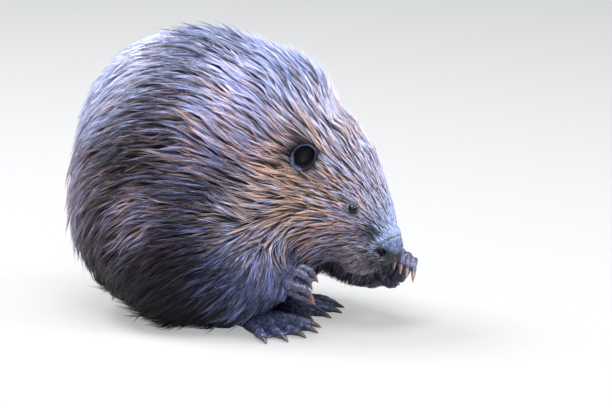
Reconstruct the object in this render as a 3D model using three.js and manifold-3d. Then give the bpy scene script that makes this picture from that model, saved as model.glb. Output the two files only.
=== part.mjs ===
// A beaver sitting hunched on its haunches at the water's edge, both forepaws raised to its mouth.
// Millimetres, +Z up. The body faces +X with its left side towards +Y. The head is bent down and turned
// a little to the animal's right, and the flat tail is swept round to its left along the ground.
// The origin is at the middle of the bounding box's bottom, and the soles, belly and tail rest on Z = 0.
// Rounded flesh is an implicit surface, meshed by surface nets. Digits, toes, claws and the tail are lofted.
import * as THREE from "three";
import { mergeVertices } from "three/addons/utils/BufferGeometryUtils.js";
import Module from "manifold-3d";

const wasm = await Module();
wasm.setup();

// Driving dimensions. Positions are in the pose's own frame, whose floor point under the back is (0, 0, 0).
const GAP = 0.35; // space between two solids that touch
const TRUNK_STEP = 36; // mesh size on the trunk
const HEAD_STEP = 12; // mesh size on the head
const LIMB_STEP = 16; // mesh size on the forearms

const FLOOR = -6; // the floor's height in the pose's frame
const HEAD = { at: [116, -5, 147], yaw: -9, pitch: 44 }; // skull centre, turn to the right, nose down
const EYE = { at: [36, 33.5, 5], radius: 6.2 }; // in the head's frame: forward, to the side, up
const EAR = {
  at: [-34, 57, 12],
  width: 27,
  height: 33,
  depth: 16,
  wall: 3,
  out: 68, // degrees that the mouth of the cup turns from forward to the side
  lean: -16, // degrees that it tips up
};
const NOSE = { at: [93, 0, -4], radii: [13, 17, 14] };
const MOUTH = { back: 34, height: -27, tilt: -4, gap: 1.2 };

const TAIL = {
  root: [-118, 18, FLOOR + 34],
  turn: 108, // heading of the blade, degrees from +X towards +Y
  start: [-130, 74, FLOOR],
  length: 236,
  width: 104,
  widest: 0.45, // share of the length
  thick: 17,
  tipThick: 7,
};

const HIND_FEET = {
  right: { at: [50, -60, FLOOR], heading: -22, side: -1 },
  left: { at: [44, 26, FLOOR], heading: 6, side: 1 },
};
const FOOT = { length: 108, width: 46, toeLength: 46, toeRadius: 7.2, web: 5 };
const TOE_SPREAD = [-30, -14, 1, 15, 29]; // degrees from the foot's heading, inner toe first
const TOE_REACH = [0.74, 0.92, 1.0, 0.98, 0.84];

const V = (p) => new THREE.Vector3(...p);
const rad = THREE.MathUtils.degToRad;
const clamp = THREE.MathUtils.clamp;
const lerp = THREE.MathUtils.lerp;

// ---- Implicit flesh: each field gives the distance to a surface, negative inside ----

function frameOf(at, turn = [0, 0, 0]) {
  const quaternion = new THREE.Quaternion().setFromEuler(new THREE.Euler(...turn.map(rad), "ZYX"));
  return new THREE.Matrix4().compose(V(at), quaternion, V([1, 1, 1]));
}

function ellipsoid(at, [rx, ry, rz], turn) {
  const toLocal = frameOf(at, turn).invert();
  const q = new THREE.Vector3();
  return (p) => {
    q.copy(p).applyMatrix4(toLocal);
    const k0 = Math.hypot(q.x / rx, q.y / ry, q.z / rz);
    const k1 = Math.hypot(q.x / rx ** 2, q.y / ry ** 2, q.z / rz ** 2);
    return k1 ? (k0 * (k0 - 1)) / k1 : -Math.min(rx, ry, rz);
  };
}

function roundCone(from, fromRadius, to, toRadius) {
  const a = V(from);
  const ab = V(to).sub(a);
  const q = new THREE.Vector3();
  return (p) => {
    const t = clamp(q.copy(p).sub(a).dot(ab) / ab.lengthSq(), 0, 1);
    return q.addScaledVector(ab, -t).length() - lerp(fromRadius, toRadius, t);
  };
}

// A union whose creases are filled over a width.
function blend(width, ...fields) {
  return (p) =>
    fields.reduce((near, field) => {
      const next = field(p);
      const overlap = Math.max(width - Math.abs(near - next), 0) / width;
      return Math.min(near, next) - (overlap * overlap * width) / 4;
    }, 1e6);
}

function inFrame(matrix, field) {
  const toLocal = matrix.clone().invert();
  const q = new THREE.Vector3();
  return (p) => field(q.copy(p).applyMatrix4(toLocal));
}

const bothSides = (make) => [-1, 1].map(make);

const trunkField = blend(
  34,
  ellipsoid([-46, 0, 162], [138, 112, 140], [0, -6, 0]), // arched back
  ellipsoid([-72, 0, 100], [114, 122, 112]), // rump
  ellipsoid([22, 0, 180], [74, 94, 96]), // shoulders
  ellipsoid([50, 0, 112], [60, 78, 70]), // chest
  ellipsoid([-4, 0, 58], [86, 96, 68]), // belly
  ...bothSides((side) => ellipsoid([-30, 84 * side, 70], [84, 42, 80], [0, 12, 0])), // thighs
  ...bothSides((side) => ellipsoid([34, 76 * side, 44], [34, 30, 38])), // knees
  ellipsoid([72, 0, 184], [46, 45, 78]), // nape
);

const headField = blend(
  20,
  ellipsoid([-18, 0, 2], [58, 50, 50]), // skull
  ellipsoid([30, 0, -12], [48, 38, 43], [0, 10, 0]), // brow
  ellipsoid([64, 0, -14], [32, 23, 25], [0, 8, 0]), // muzzle
  ellipsoid([84, 0, -8], [18, 19, 15]), // nose
  ...bothSides((side) => ellipsoid([8, 27 * side, -32], [42, 24, 36])), // cheeks
  ...bothSides((side) => ellipsoid([62, 12 * side, -26], [24, 15, 17])), // lips
  ellipsoid([50, 0, -46], [36, 20, 17]), // chin
  ellipsoid([-22, 0, -44], [52, 44, 42]), // throat
);

const headFrame = frameOf(HEAD.at, [0, HEAD.pitch, HEAD.yaw]);
const fleshField = blend(24, trunkField, inFrame(headFrame, headField));

// ---- Meshing ----

// Surface nets: one vertex in each cell that the surface crosses, one quad round each edge that it crosses.
function surfaceNet(field, low, high, step) {
  const size = low.map((l, i) => Math.ceil((high[i] - l) / step) + 3);
  const corner = (i, j, k) => V([low[0] + (i - 1) * step, low[1] + (j - 1) * step, low[2] + (k - 1) * step]);
  const index = (i, j, k) => i + size[0] * (j + size[1] * k);
  const values = new Float64Array(size[0] * size[1] * size[2]);
  for (let k = 0; k < size[2]; k++)
    for (let j = 0; j < size[1]; j++)
      for (let i = 0; i < size[0]; i++) {
        const onRim = [i, j, k].some((n, axis) => n === 0 || n === size[axis] - 1);
        values[index(i, j, k)] = onRim ? step : field(corner(i, j, k)) || 1e-9;
      }
  const cellVertex = new Int32Array(values.length).fill(-1);
  const positions = [];
  const faces = [];
  const corners = [...Array(8).keys()].map((n) => [n & 1, (n >> 1) & 1, n >> 2]);
  for (let k = 0; k < size[2] - 1; k++)
    for (let j = 0; j < size[1] - 1; j++)
      for (let i = 0; i < size[0] - 1; i++) {
        const sum = new THREE.Vector3();
        let crossings = 0;
        for (const [x, y, z] of corners)
          for (const [dx, dy, dz] of [[1, 0, 0], [0, 1, 0], [0, 0, 1]]) {
            if (x + dx > 1 || y + dy > 1 || z + dz > 1) continue;
            const a = values[index(i + x, j + y, k + z)];
            const b = values[index(i + x + dx, j + y + dy, k + z + dz)];
            if (a < 0 === b < 0) continue;
            const start = corner(i + x, j + y, k + z);
            sum.add(start.lerp(corner(i + x + dx, j + y + dy, k + z + dz), a / (a - b)));
            crossings++;
          }
        if (!crossings) continue;
        cellVertex[index(i, j, k)] = positions.length / 3;
        positions.push(...onSurface(field, sum.divideScalar(crossings), step));
      }
  const around = [[[0, 1, 0], [0, 0, 1]], [[0, 0, 1], [1, 0, 0]], [[1, 0, 0], [0, 1, 0]]];
  for (let k = 0; k < size[2] - 1; k++)
    for (let j = 0; j < size[1] - 1; j++)
      for (let i = 0; i < size[0] - 1; i++)
        around.forEach(([u, v], axis) => {
          if ([i, j, k].some((n, other) => other !== axis && n === 0)) return;
          const far = [i, j, k].map((n, other) => n + (other === axis ? 1 : 0));
          const inside = values[index(i, j, k)] < 0;
          if (inside === values[index(...far)] < 0) return;
          const at = (a, b) =>
            cellVertex[index(i - a * u[0] - b * v[0], j - a * u[1] - b * v[1], k - a * u[2] - b * v[2])];
          const quad = [at(0, 0), at(1, 0), at(1, 1), at(0, 1)];
          if (!inside) quad.reverse();
          faces.push(quad[0], quad[1], quad[2], quad[0], quad[2], quad[3]);
        });
  return solidFrom(positions, faces);
}

// A few Newton steps from a point near the surface onto it.
function onSurface(field, p, step) {
  const h = 0.5;
  for (let pass = 0; pass < 3; pass++) {
    const here = field(p);
    const slope = new THREE.Vector3(
      field(p.clone().setX(p.x + h)) - here,
      field(p.clone().setY(p.y + h)) - here,
      field(p.clone().setZ(p.z + h)) - here,
    ).divideScalar(h);
    p.addScaledVector(slope, clamp(-here / Math.max(slope.lengthSq(), 0.25), -step / 3, step / 3));
  }
  return p.toArray();
}

// A solid from vertices and faces, turned right side out.
function solidFrom(positions, faces) {
  const vertProperties = new Float32Array(positions);
  const triVerts = new Uint32Array(faces);
  const made = new wasm.Manifold(new wasm.Mesh({ numProp: 3, vertProperties, triVerts }));
  if (made.volume() > 0) return made;
  return new wasm.Manifold(new wasm.Mesh({ numProp: 3, vertProperties, triVerts: triVerts.reverse() }));
}

// A closed three.js geometry as a solid, after its seam vertices are merged.
function solidOf(geometry, matrix = new THREE.Matrix4()) {
  const bare = geometry.clone().applyMatrix4(matrix);
  bare.deleteAttribute("normal");
  bare.deleteAttribute("uv");
  const merged = mergeVertices(bare, 1e-3);
  return solidFrom(merged.attributes.position.array, merged.index.array);
}

const ball = (at, radii, turn, wide = 14, high = 8) =>
  solidOf(new THREE.SphereGeometry(1, wide, high), frameOf(at, turn).scale(V(radii)));

const grownBall = (at, radii, turn, wide, high) =>
  ball(
    at,
    radii.map((r) => r + 1.1 * GAP),
    turn,
    wide,
    high,
  );

// All space on the side of a plane that its normal points to.
const HUGE = 1400;
function halfSpace(at, normal, shift = 0) {
  const turn = new THREE.Quaternion().setFromUnitVectors(V([0, 0, 1]), V(normal).normalize());
  const box = new THREE.BoxGeometry(HUGE, HUGE, HUGE).translate(0, 0, HUGE / 2 + shift);
  return solidOf(box, new THREE.Matrix4().compose(V(at), turn, V([1, 1, 1])));
}

const floorUp = halfSpace([0, 0, FLOOR], [0, 0, 1]);

// A round tube along a smooth curve through the points, with the given radii at them.
function sweep(points, radii, { sides = 8, rings = 6, flatten = 1 } = {}) {
  const curve = new THREE.CatmullRomCurve3(points.map(V), false, "centripetal");
  const { normals, binormals } = curve.computeFrenetFrames(rings);
  const positions = [];
  const faces = [];
  for (let ring = 0; ring <= rings; ring++) {
    const centre = curve.getPointAt(ring / rings);
    const place = clamp(curve.getUtoTmapping(ring / rings) * (radii.length - 1), 0, radii.length - 1.0001);
    const radius = lerp(radii[Math.floor(place)], radii[Math.floor(place) + 1], place % 1);
    for (let side = 0; side < sides; side++) {
      const angle = (side / sides) * 2 * Math.PI;
      const out = normals[ring].clone().multiplyScalar(Math.cos(angle));
      out.addScaledVector(binormals[ring], Math.sin(angle)).multiplyScalar(radius);
      positions.push(centre.x + out.x, centre.y + out.y, centre.z + out.z * flatten);
    }
  }
  for (let ring = 0; ring < rings; ring++)
    for (let side = 0; side < sides; side++) {
      const a = ring * sides + side;
      const b = ring * sides + ((side + 1) % sides);
      faces.push(a, b, b + sides, a, b + sides, a + sides);
    }
  for (let side = 1; side < sides - 1; side++) {
    const end = rings * sides;
    faces.push(0, side + 1, side, end, end + side, end + side + 1);
  }
  return solidFrom(positions, faces);
}

// The solid with each vertex moved out along its normal, to cut a neighbour with.
function grown(solid, by = GAP) {
  const mesh = solid.getMesh();
  const geometry = new THREE.BufferGeometry();
  const bare = new Float32Array(mesh.numVert * 3);
  for (let i = 0; i < mesh.numVert; i++)
    bare.set(mesh.vertProperties.subarray(i * mesh.numProp, i * mesh.numProp + 3), i * 3);
  geometry.setAttribute("position", new THREE.BufferAttribute(bare, 3));
  geometry.setIndex(new THREE.BufferAttribute(mesh.triVerts, 1));
  geometry.computeVertexNormals();
  const { position, normal } = geometry.attributes;
  const moved = position.array.map((x, i) => x + normal.array[i] * by * 1.15);
  return solidFrom(moved, mesh.triVerts);
}

const joined = (solids) => solids.reduce((all, next) => all.add(next));
const clearOf = (solid, ...others) => others.reduce((rest, other) => rest.subtract(grown(other)), solid);
const largest = (solid) => solid.decompose().sort((a, b) => b.volume() - a.volume())[0];

const inHead = (p) => V(p).applyMatrix4(headFrame).toArray();
const headwards = (p) => V(p).transformDirection(headFrame).toArray();

// ---- Sub-parts ----

const nodes = {};
const SIDES = { right: -1, left: 1 };

// Ellipsoids that part the flesh, as centre, radii and turn.
const HEAD_ZONE = [inHead([24, 0, -20]), [98, 72, 74], [0, HEAD.pitch, HEAD.yaw]];
const NECK_ZONE = [[66, -1, 200], [62, 110, 96], [0, -14, 0]];
const LIMB_ZONES = {
  upper_arm_right: [[44, -96, 102], [42, 46, 56], [0, 20, 0]],
  upper_arm_left: [[44, 96, 102], [42, 46, 56], [0, 20, 0]],
  thigh_right: [[-34, -122, 62], [92, 60, 88], [0, 12, 0]],
  thigh_left: [[-34, 122, 62], [92, 60, 88], [0, 12, 0]],
};
const behindHead = halfSpace(inHead([-52, 0, 0]), headwards([-1, 0, 0]));

// The trunk, neck, upper arms and thighs are one surface, parted by thin cuts.
function makeTrunk() {
  const whole = surfaceNet(fleshField, [-200, -150, -30], [230, 150, 330], TRUNK_STEP).intersect(floorUp);
  const headSpace = grownBall(...HEAD_ZONE).subtract(behindHead.translate(headwards([-GAP, 0, 0])));
  let rest = largest(whole.subtract(headSpace));
  for (const [name, zone] of Object.entries({ ...LIMB_ZONES, neck: NECK_ZONE })) {
    nodes[name] = largest(rest.intersect(ball(...zone)));
    rest = rest.subtract(grownBall(...zone));
  }
  nodes.trunk = largest(rest);
}

// The head, from behind the ears to the nose, with the jaw, nose pad and eyes parted from it.
function makeHead() {
  const whole = surfaceNet(fleshField, [0, -100, 20], [230, 100, 290], HEAD_STEP);
  let head = whole.intersect(ball(...HEAD_ZONE)).subtract(behindHead);
  const noseZone = [inHead(NOSE.at), NOSE.radii, [0, HEAD.pitch, HEAD.yaw], 10, 6];
  nodes.nose = largest(head.intersect(ball(...noseZone)));
  head = head.subtract(grownBall(...noseZone));
  const underLips = [inHead([MOUTH.back, 0, MOUTH.height]), headwards([Math.sin(rad(MOUTH.tilt)), 0, -1])];
  const hinge = [inHead([MOUTH.back, 0, 0]), headwards([1, 0, 0.35])];
  nodes.lower_jaw = largest(head.intersect(halfSpace(...underLips)).intersect(halfSpace(...hinge)));
  head = head.subtract(halfSpace(...underLips, -MOUTH.gap).intersect(halfSpace(...hinge, -GAP)));
  for (const [name, side] of Object.entries(SIDES)) {
    const eye = [inHead([EYE.at[0], EYE.at[1] * side, EYE.at[2]]), [EYE.radius, EYE.radius, EYE.radius]];
    nodes[`eye_${name}`] = ball(...eye, [0, 0, 0], 8, 6);
    head = head.subtract(grownBall(...eye, [0, 0, 0], 8, 6));
  }
  nodes.head = largest(head);
}

// An open cup, let into the head, with its mouth facing forward and out.
function makeEar(name, side) {
  const steps = 4;
  const wide = 10;
  const outer = [...Array(steps + 1).keys()].map((i) => {
    const angle = (i / steps) * 0.62 * Math.PI;
    return new THREE.Vector2(i ? Math.sin(angle) : 0, -Math.cos(angle));
  });
  const inner = outer.map((p) => p.clone().multiplyScalar(1 - EAR.wall / EAR.depth)).reverse();
  const place = headFrame
    .clone()
    .multiply(frameOf([EAR.at[0], EAR.at[1] * side, EAR.at[2]]))
    .multiply(frameOf([0, 0, 0], [0, EAR.lean, EAR.out * side]))
    .scale(V([EAR.depth, EAR.width / 2, EAR.height / 2]))
    .multiply(frameOf([0, 0, 0], [0, 0, -90]));
  const rim = new THREE.Vector2(0, outer[steps].y);
  const hole = solidOf(new THREE.LatheGeometry([...outer, rim], wide), place);
  for (const other of ["head", "neck"]) nodes[other] = largest(clearOf(nodes[other], hole));
  nodes[`ear_${name}`] = solidOf(new THREE.LatheGeometry([...outer, ...inner], wide), place);
}

const ARMS = {
  right: { elbow: [40, -95, 70], wrist: [78, -80, 47], palm: [87, -78, 50] },
  left: { elbow: [70, 74, 62], wrist: [138, 48, 32], palm: [151, 41, 38] },
};

// Digits from knuckle to tip, the thumb last. The right paw closes beside the mouth, the left one in front of it.
const DIGITS = {
  right: [
    [[86, -82, 56], [94, -86, 66], [103, -86, 63], [104, -80, 56]],
    [[86, -74, 58], [96, -76, 68], [105, -76, 66], [106, -70, 61]],
    [[87, -86, 50], [96, -90, 50], [103, -87, 47], [106, -82, 42]],
    [[85, -82, 42], [93, -85, 38], [99, -82, 34], [102, -78, 32]],
    [[84, -70, 51], [90, -62, 50], [95, -57, 50], [98, -54, 50]],
  ],
  left: [
    ...[0, 1, 2, 3].map((i) => [
      [150 + 6 * i, 38 - 2 * i, 38],
      [160 + 7 * i, 32 - i, 64 - 3 * i],
      [166 + 7 * i, 20, 73 - 4 * i],
      [169 + 7 * i, 8, 64 - 4 * i],
    ]),
    [[150, 28, 34], [159, 20, 33], [167, 13, 35], [172, 8, 38]],
  ],
};

// A claw that carries on from the last two points of a digit, bending down, trimmed by the digit's end.
function claw(points, digit, length, radius, drop) {
  const tip = V(points.at(-1));
  const along = tip.clone().sub(V(points.at(-2))).normalize();
  const at = (reach, fall) => tip.clone().addScaledVector(along, reach).add(V([0, 0, -fall])).toArray();
  const curve = [at(-2, 0), at(length * 0.45, drop * 0.35), at(length * 0.9, drop)];
  return largest(clearOf(sweep(curve, [radius, radius * 0.8, 0.5], { sides: 4, rings: 2 }), digit));
}

const THUMB = 4;

function makeForelimb(name) {
  const { elbow, wrist, palm } = ARMS[name];
  const forearm = blend(10, roundCone(elbow, 25, wrist, 13.5), ellipsoid(elbow, [29, 24, 27]));
  const margin = 36;
  const low = elbow.map((x, axis) => Math.min(x, wrist[axis]) - margin);
  const high = elbow.map((x, axis) => Math.max(x, wrist[axis]) + margin);
  const arm = surfaceNet(forearm, low, high, LIMB_STEP);
  for (const other of ["trunk", "neck", `upper_arm_${name}`, `thigh_${name}`])
    nodes[other] = largest(clearOf(nodes[other], arm));
  nodes[`forearm_${name}`] = largest(clearOf(arm, nodes.head, nodes.lower_jaw));

  const digits = DIGITS[name].map((points, i) => {
    const radii = [7.4, 5.6, 5.2, 3.4].map((radius) => radius * (i === THUMB ? 0.8 : 1));
    const digit = sweep(points, radii, { sides: 5, rings: 3 });
    const [length, radius] = i === THUMB ? [7, 2.3] : [10, 2.9];
    nodes[`claw_fore_${name}_${i + 1}`] = claw(points, digit, length, radius, 4);
    return digit;
  });
  const direction = V(palm).sub(V(wrist)).normalize();
  const heel = V(wrist).addScaledVector(direction, -4).toArray();
  const front = V(palm).addScaledVector(direction, 7).toArray();
  const paw = joined([sweep([heel, palm, front], [10.5, 15, 11], { sides: 8, rings: 2 }), ...digits]);
  const touched = [`forearm_${name}`, "trunk", "head", "lower_jaw", "nose"];
  nodes[`forepaw_${name}`] = largest(clearOf(paw, ...touched.map((other) => nodes[other])));
}

// The sole and instep, five spread toes and the web between them, flat on the floor.
function makeHindFoot(name) {
  const { at, heading, side } = HIND_FEET[name];
  const place = frameOf(at, [0, 0, heading]);
  const world = (p) => V(p).applyMatrix4(place).toArray();
  const back = -FOOT.length;
  const sole = sweep(
    [[back, 0, 12], [back * 0.55, 0, 13], [back * 0.15, 0, 12], [6, 0, 8]].map(world),
    [15, 20, FOOT.width / 2, FOOT.width / 2.4],
    { sides: 8, rings: 3, flatten: 0.62 },
  );
  const rays = TOE_SPREAD.map((spread, i) => {
    const angle = rad(spread * side);
    const length = FOOT.toeLength * TOE_REACH[i] + 10;
    const start = [-10, (i - 2) * 8 * side];
    const point = (t, z) =>
      world([start[0] + length * t * Math.cos(angle), start[1] + length * t * Math.sin(angle), z]);
    return [point(0, 10), point(0.4, 12), point(0.75, 9), point(1, 6)];
  });
  const toes = rays.map((points, i) => {
    const radii = [1, 1, 0.92, 0.6].map((part) => part * FOOT.toeRadius);
    const toe = sweep(points, radii, { sides: 6, rings: 2 });
    nodes[`claw_hind_${name}_${i + 1}`] = claw(points, toe, 13, 3.6, 2.2).intersect(floorUp);
    return toe;
  });
  const outline = new THREE.Shape();
  outline.moveTo(...world([-14, 18 * side, 0]).slice(0, 2));
  outline.lineTo(...world([-14, -18 * side, 0]).slice(0, 2));
  const webEnds = rays.map(([, , near, tip]) => [lerp(near[0], tip[0], 0.5), lerp(near[1], tip[1], 0.5)]);
  webEnds.forEach((end, i) => {
    outline.lineTo(...end);
    if (i === rays.length - 1) return;
    const [near, next] = [rays[i][2], rays[i + 1][2]];
    outline.quadraticCurveTo((near[0] + next[0]) / 2, (near[1] + next[1]) / 2, ...webEnds[i + 1]);
  });
  const web = new THREE.ExtrudeGeometry(outline, { depth: FOOT.web, bevelEnabled: false, curveSegments: 1 });
  const pocket = [world([back * 0.42, 0, 0]), [92, 38, 30], [0, 0, heading], 14, 8];
  const foot = joined([sole, ...toes, solidOf(web)]).intersect(floorUp);
  for (const other of ["trunk", `thigh_${name}`])
    nodes[other] = largest(nodes[other].subtract(ball(...pocket)));
  nodes[`hind_foot_${name}`] = largest(clearOf(foot, nodes.trunk, nodes[`thigh_${name}`]));
}

// A furry root and a flat oval blade, thickest along its middle.
function makeTail() {
  const along = V([Math.cos(rad(TAIL.turn)), Math.sin(rad(TAIL.turn)), 0]);
  const across = V([-along.y, along.x, 0]);
  const start = V(TAIL.start);
  const root = sweep(
    [TAIL.root, [-138, 48, FLOOR + 24], start.clone().addScaledVector(along, 22).setZ(FLOOR + 12).toArray()],
    [40, 32, 20],
    { sides: 10, rings: 4, flatten: 0.66 },
  ).intersect(floorUp);
  const rings = 9;
  const sides = 10;
  const positions = [];
  const faces = [];
  for (let ring = 0; ring <= rings; ring++) {
    const t = (1 - Math.cos((ring / rings) * Math.PI)) / 2;
    const fromRoot = lerp(0.42, 1, Math.sin((clamp(t / TAIL.widest, 0, 1) * Math.PI) / 2));
    const toTip = Math.sqrt(Math.max(1 - ((t - TAIL.widest) / (1 - TAIL.widest)) ** 4, 0.01));
    const half = (TAIL.width / 2) * (t < TAIL.widest ? fromRoot : toTip);
    const thick = lerp(TAIL.thick, TAIL.tipThick, t);
    const middle = start.clone().addScaledVector(along, TAIL.length * t);
    for (let side = 0; side < sides; side++) {
      const angle = (side / sides) * 2 * Math.PI;
      const lift = Math.sign(Math.sin(angle)) * Math.abs(Math.sin(angle)) ** 0.8;
      const p = middle.clone().addScaledVector(across, half * Math.cos(angle));
      positions.push(p.x, p.y, FLOOR + thick * 0.42 + (thick / 2) * lift);
    }
  }
  for (let ring = 0; ring < rings; ring++)
    for (let side = 0; side < sides; side++) {
      const a = ring * sides + side;
      const b = ring * sides + ((side + 1) % sides);
      faces.push(a, b + sides, b, a, a + sides, b + sides);
    }
  for (let side = 1; side < sides - 1; side++) {
    const end = rings * sides;
    faces.push(0, side, side + 1, end, end + side + 1, end + side);
  }
  const blade = solidFrom(positions, faces).intersect(floorUp);
  nodes.tail_root = largest(clearOf(root, nodes.trunk, nodes.thigh_left));
  nodes.tail_blade = largest(clearOf(blade, nodes.tail_root, nodes.trunk, nodes.thigh_left));
}

makeTrunk();
makeHead();
for (const [name, side] of Object.entries(SIDES)) {
  makeEar(name, side);
  makeForelimb(name);
  makeHindFoot(name);
}
makeTail();

// ---- The scene graph ----

const FINISHES = {
  fur: { color: 0x4a3a30, roughness: 0.85, metalness: 0 },
  bare_skin: { color: 0x2c2a2c, roughness: 0.6, metalness: 0 },
  tail_scales: { color: 0x262427, roughness: 0.55, metalness: 0 },
  claw: { color: 0x5a4034, roughness: 0.4, metalness: 0 },
  eye: { color: 0x0a0808, roughness: 0.08, metalness: 0 },
};

function finishOf(name) {
  if (name.startsWith("claw")) return "claw";
  if (name.startsWith("eye")) return "eye";
  if (name.startsWith("tail_blade")) return "tail_scales";
  return /paw|foot|nose|ear_/.test(name) ? "bare_skin" : "fur";
}

const bounds = new THREE.Box3();
for (const solid of Object.values(nodes)) {
  const { min, max } = solid.boundingBox();
  bounds.expandByPoint(V(min)).expandByPoint(V(max));
}
const origin = bounds.getCenter(new THREE.Vector3()).setZ(bounds.min.z);

const beaver = new THREE.Group();
for (const [name, solid] of Object.entries(nodes)) {
  const mesh = solid.getMesh();
  const bare = new Float32Array(mesh.numVert * 3);
  for (let i = 0; i < mesh.numVert; i++)
    bare.set(mesh.vertProperties.subarray(i * mesh.numProp, i * mesh.numProp + 3), i * 3);
  const geometry = new THREE.BufferGeometry();
  geometry.setAttribute("position", new THREE.BufferAttribute(bare, 3));
  geometry.setIndex(new THREE.BufferAttribute(mesh.triVerts, 1));
  geometry.computeVertexNormals();
  const made = new THREE.Mesh(geometry, new THREE.MeshStandardMaterial(FINISHES[finishOf(name)]));
  made.name = name;
  made.position.copy(origin).negate();
  beaver.add(made);
}

export default beaver;
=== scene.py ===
import math

import bmesh
import bpy
import numpy as np
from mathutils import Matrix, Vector
from mathutils.bvhtree import BVHTree
from mathutils.kdtree import KDTree


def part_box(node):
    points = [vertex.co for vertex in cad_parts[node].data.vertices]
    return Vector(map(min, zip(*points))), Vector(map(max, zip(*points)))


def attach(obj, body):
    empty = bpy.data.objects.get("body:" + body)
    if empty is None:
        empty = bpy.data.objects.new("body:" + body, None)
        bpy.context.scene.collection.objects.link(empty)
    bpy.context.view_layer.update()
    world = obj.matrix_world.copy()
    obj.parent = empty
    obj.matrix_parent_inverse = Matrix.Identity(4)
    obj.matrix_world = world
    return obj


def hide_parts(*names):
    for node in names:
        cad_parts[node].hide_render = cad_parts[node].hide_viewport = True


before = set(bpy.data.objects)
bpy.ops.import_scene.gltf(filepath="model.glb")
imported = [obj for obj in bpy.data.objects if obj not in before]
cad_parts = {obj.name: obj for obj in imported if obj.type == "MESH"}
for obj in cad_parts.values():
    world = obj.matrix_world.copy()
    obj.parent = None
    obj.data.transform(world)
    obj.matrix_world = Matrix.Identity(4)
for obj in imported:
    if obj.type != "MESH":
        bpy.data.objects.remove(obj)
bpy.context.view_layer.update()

MM = 0.001
rng = np.random.default_rng(11)
scale_rng = np.random.default_rng(5)
whisker_rng = np.random.default_rng(7)
pebble_rng = np.random.default_rng(3)


# ---------------------------------------------------------------- camera

AZIMUTH = 20
ELEVATION = 12
DISTANCE = 4.0
LENS = 224.1
AIM = Vector((0.0933, -0.0847, 0.1235))


def make_camera():
    """A long lens at the animal's right side, a little to the front and a little above."""
    data = bpy.data.cameras.new("camera")
    data.lens = LENS
    data.sensor_width = 36
    data.clip_start = 0.1
    data.clip_end = 50
    camera = bpy.data.objects.new("camera", data)
    bpy.context.scene.collection.objects.link(camera)
    turn, lift = math.radians(AZIMUTH), math.radians(ELEVATION)
    back = Vector((math.sin(turn) * math.cos(lift), -math.cos(turn) * math.cos(lift), math.sin(lift)))
    camera.location = AIM + back * DISTANCE
    camera.rotation_euler = (math.pi / 2 - lift, 0, turn)
    bpy.context.scene.camera = camera


make_camera()


# ---------------------------------------------------------------- shader helpers


class Socket:
    """A value among a material's nodes. Arithmetic on it adds Math nodes."""

    def __init__(self, nodes, socket):
        self.nodes, self.socket = nodes, socket

    def maths(self, operation, *values):
        return self.nodes.node("ShaderNodeMath", {"operation": operation}, *values)

    def __add__(self, other):
        return self.maths("ADD", self, other)

    def __sub__(self, other):
        return self.maths("SUBTRACT", self, other)

    def __rsub__(self, other):
        return self.maths("SUBTRACT", other, self)

    def __mul__(self, other):
        return self.maths("MULTIPLY", self, other)

    def __pow__(self, other):
        return self.maths("POWER", self, other)

    def clamped(self):
        return self.nodes.node("ShaderNodeClamp", {}, self)

    __radd__, __rmul__ = __add__, __mul__


class Nodes:
    """The nodes of a material or of the world."""

    def __init__(self, tree):
        self.tree = tree

    def put(self, target, value):
        """Sets a socket, or links a value to it."""
        if isinstance(value, Socket):
            self.tree.links.new(value.socket, target)
        else:
            target.default_value = value

    def node(self, kind, settings, *values, out=0, **named):
        """A new node with its settings, then its sockets in order or by name."""
        made = self.tree.nodes.new(kind)
        for key, value in settings.items():
            setattr(made, key, value)
        for target, value in zip(made.inputs, values):
            self.put(target, value)
        for key, value in named.items():
            self.put(made.inputs[key.replace("_", " ")], value)
        return Socket(self, made.outputs[out])

    def show(self, output, first, second, share):
        """Shows two shaders mixed at the output."""
        blend = self.node("ShaderNodeMixShader", {}, share, first, second)
        self.put(self.tree.nodes[output].inputs["Surface"], blend)


class Finish(Nodes):
    """A material with one Principled shader."""

    def __init__(self, name, **constants):
        self.material = bpy.data.materials.new(name)
        self.material.use_nodes = True
        super().__init__(self.material.node_tree)
        self.shader = self.tree.nodes["Principled BSDF"]
        for socket, value in constants.items():
            self.shader.inputs[socket.replace("_", " ")].default_value = value

    def attribute(self, name, out="Fac"):
        """A number or a colour that the mesh carries."""
        return self.node("ShaderNodeAttribute", {"attribute_name": name}, out=out)

    def objects_own(self):
        """The place on the piece, in its own frame."""
        return self.node("ShaderNodeTexCoord", {}, out="Object")

    def noise(self, scale, detail):
        """Noise fixed to the piece, from 0 to 1."""
        sockets = {"Vector": self.objects_own(), "Scale": scale, "Detail": detail, "Roughness": 0.5}
        return self.node("ShaderNodeTexNoise", {}, out="Fac", **sockets)

    def mix(self, share, first, second, blend="MIX"):
        """A mix of two colours."""
        made = self.tree.nodes.new("ShaderNodeMix")
        made.data_type = "RGBA"
        made.blend_type = blend
        self.put(made.inputs[0], share)
        for target, value in ((made.inputs[6], first), (made.inputs[7], second)):
            self.put(target, value if isinstance(value, Socket) else (*value, 1))
        return Socket(self, made.outputs[2])

    def bump(self, height, distance, strength):
        """Small relief, at most so many metres high."""
        return self.node("ShaderNodeBump", {}, Strength=strength, Distance=distance, Height=height)

    def connect(self, **sockets):
        """Links the shader's sockets and returns the material."""
        for key, value in sockets.items():
            self.put(self.shader.inputs[key.replace("_", " ")], value)
        return self.material


def linear(red, green, blue):
    """A colour written as it looks on a screen, 0 to 255, as the shaders want it."""
    return tuple(
        ((c / 255) / 12.92 if c <= 10 else ((c / 255 + 0.055) / 1.055) ** 2.4) for c in (red, green, blue)
    )


# ---------------------------------------------------------------- the head's own frame


def unit(v):
    """Vectors at length 1."""
    return v / np.maximum(np.linalg.norm(v, axis=-1, keepdims=True), 1e-12)


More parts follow.
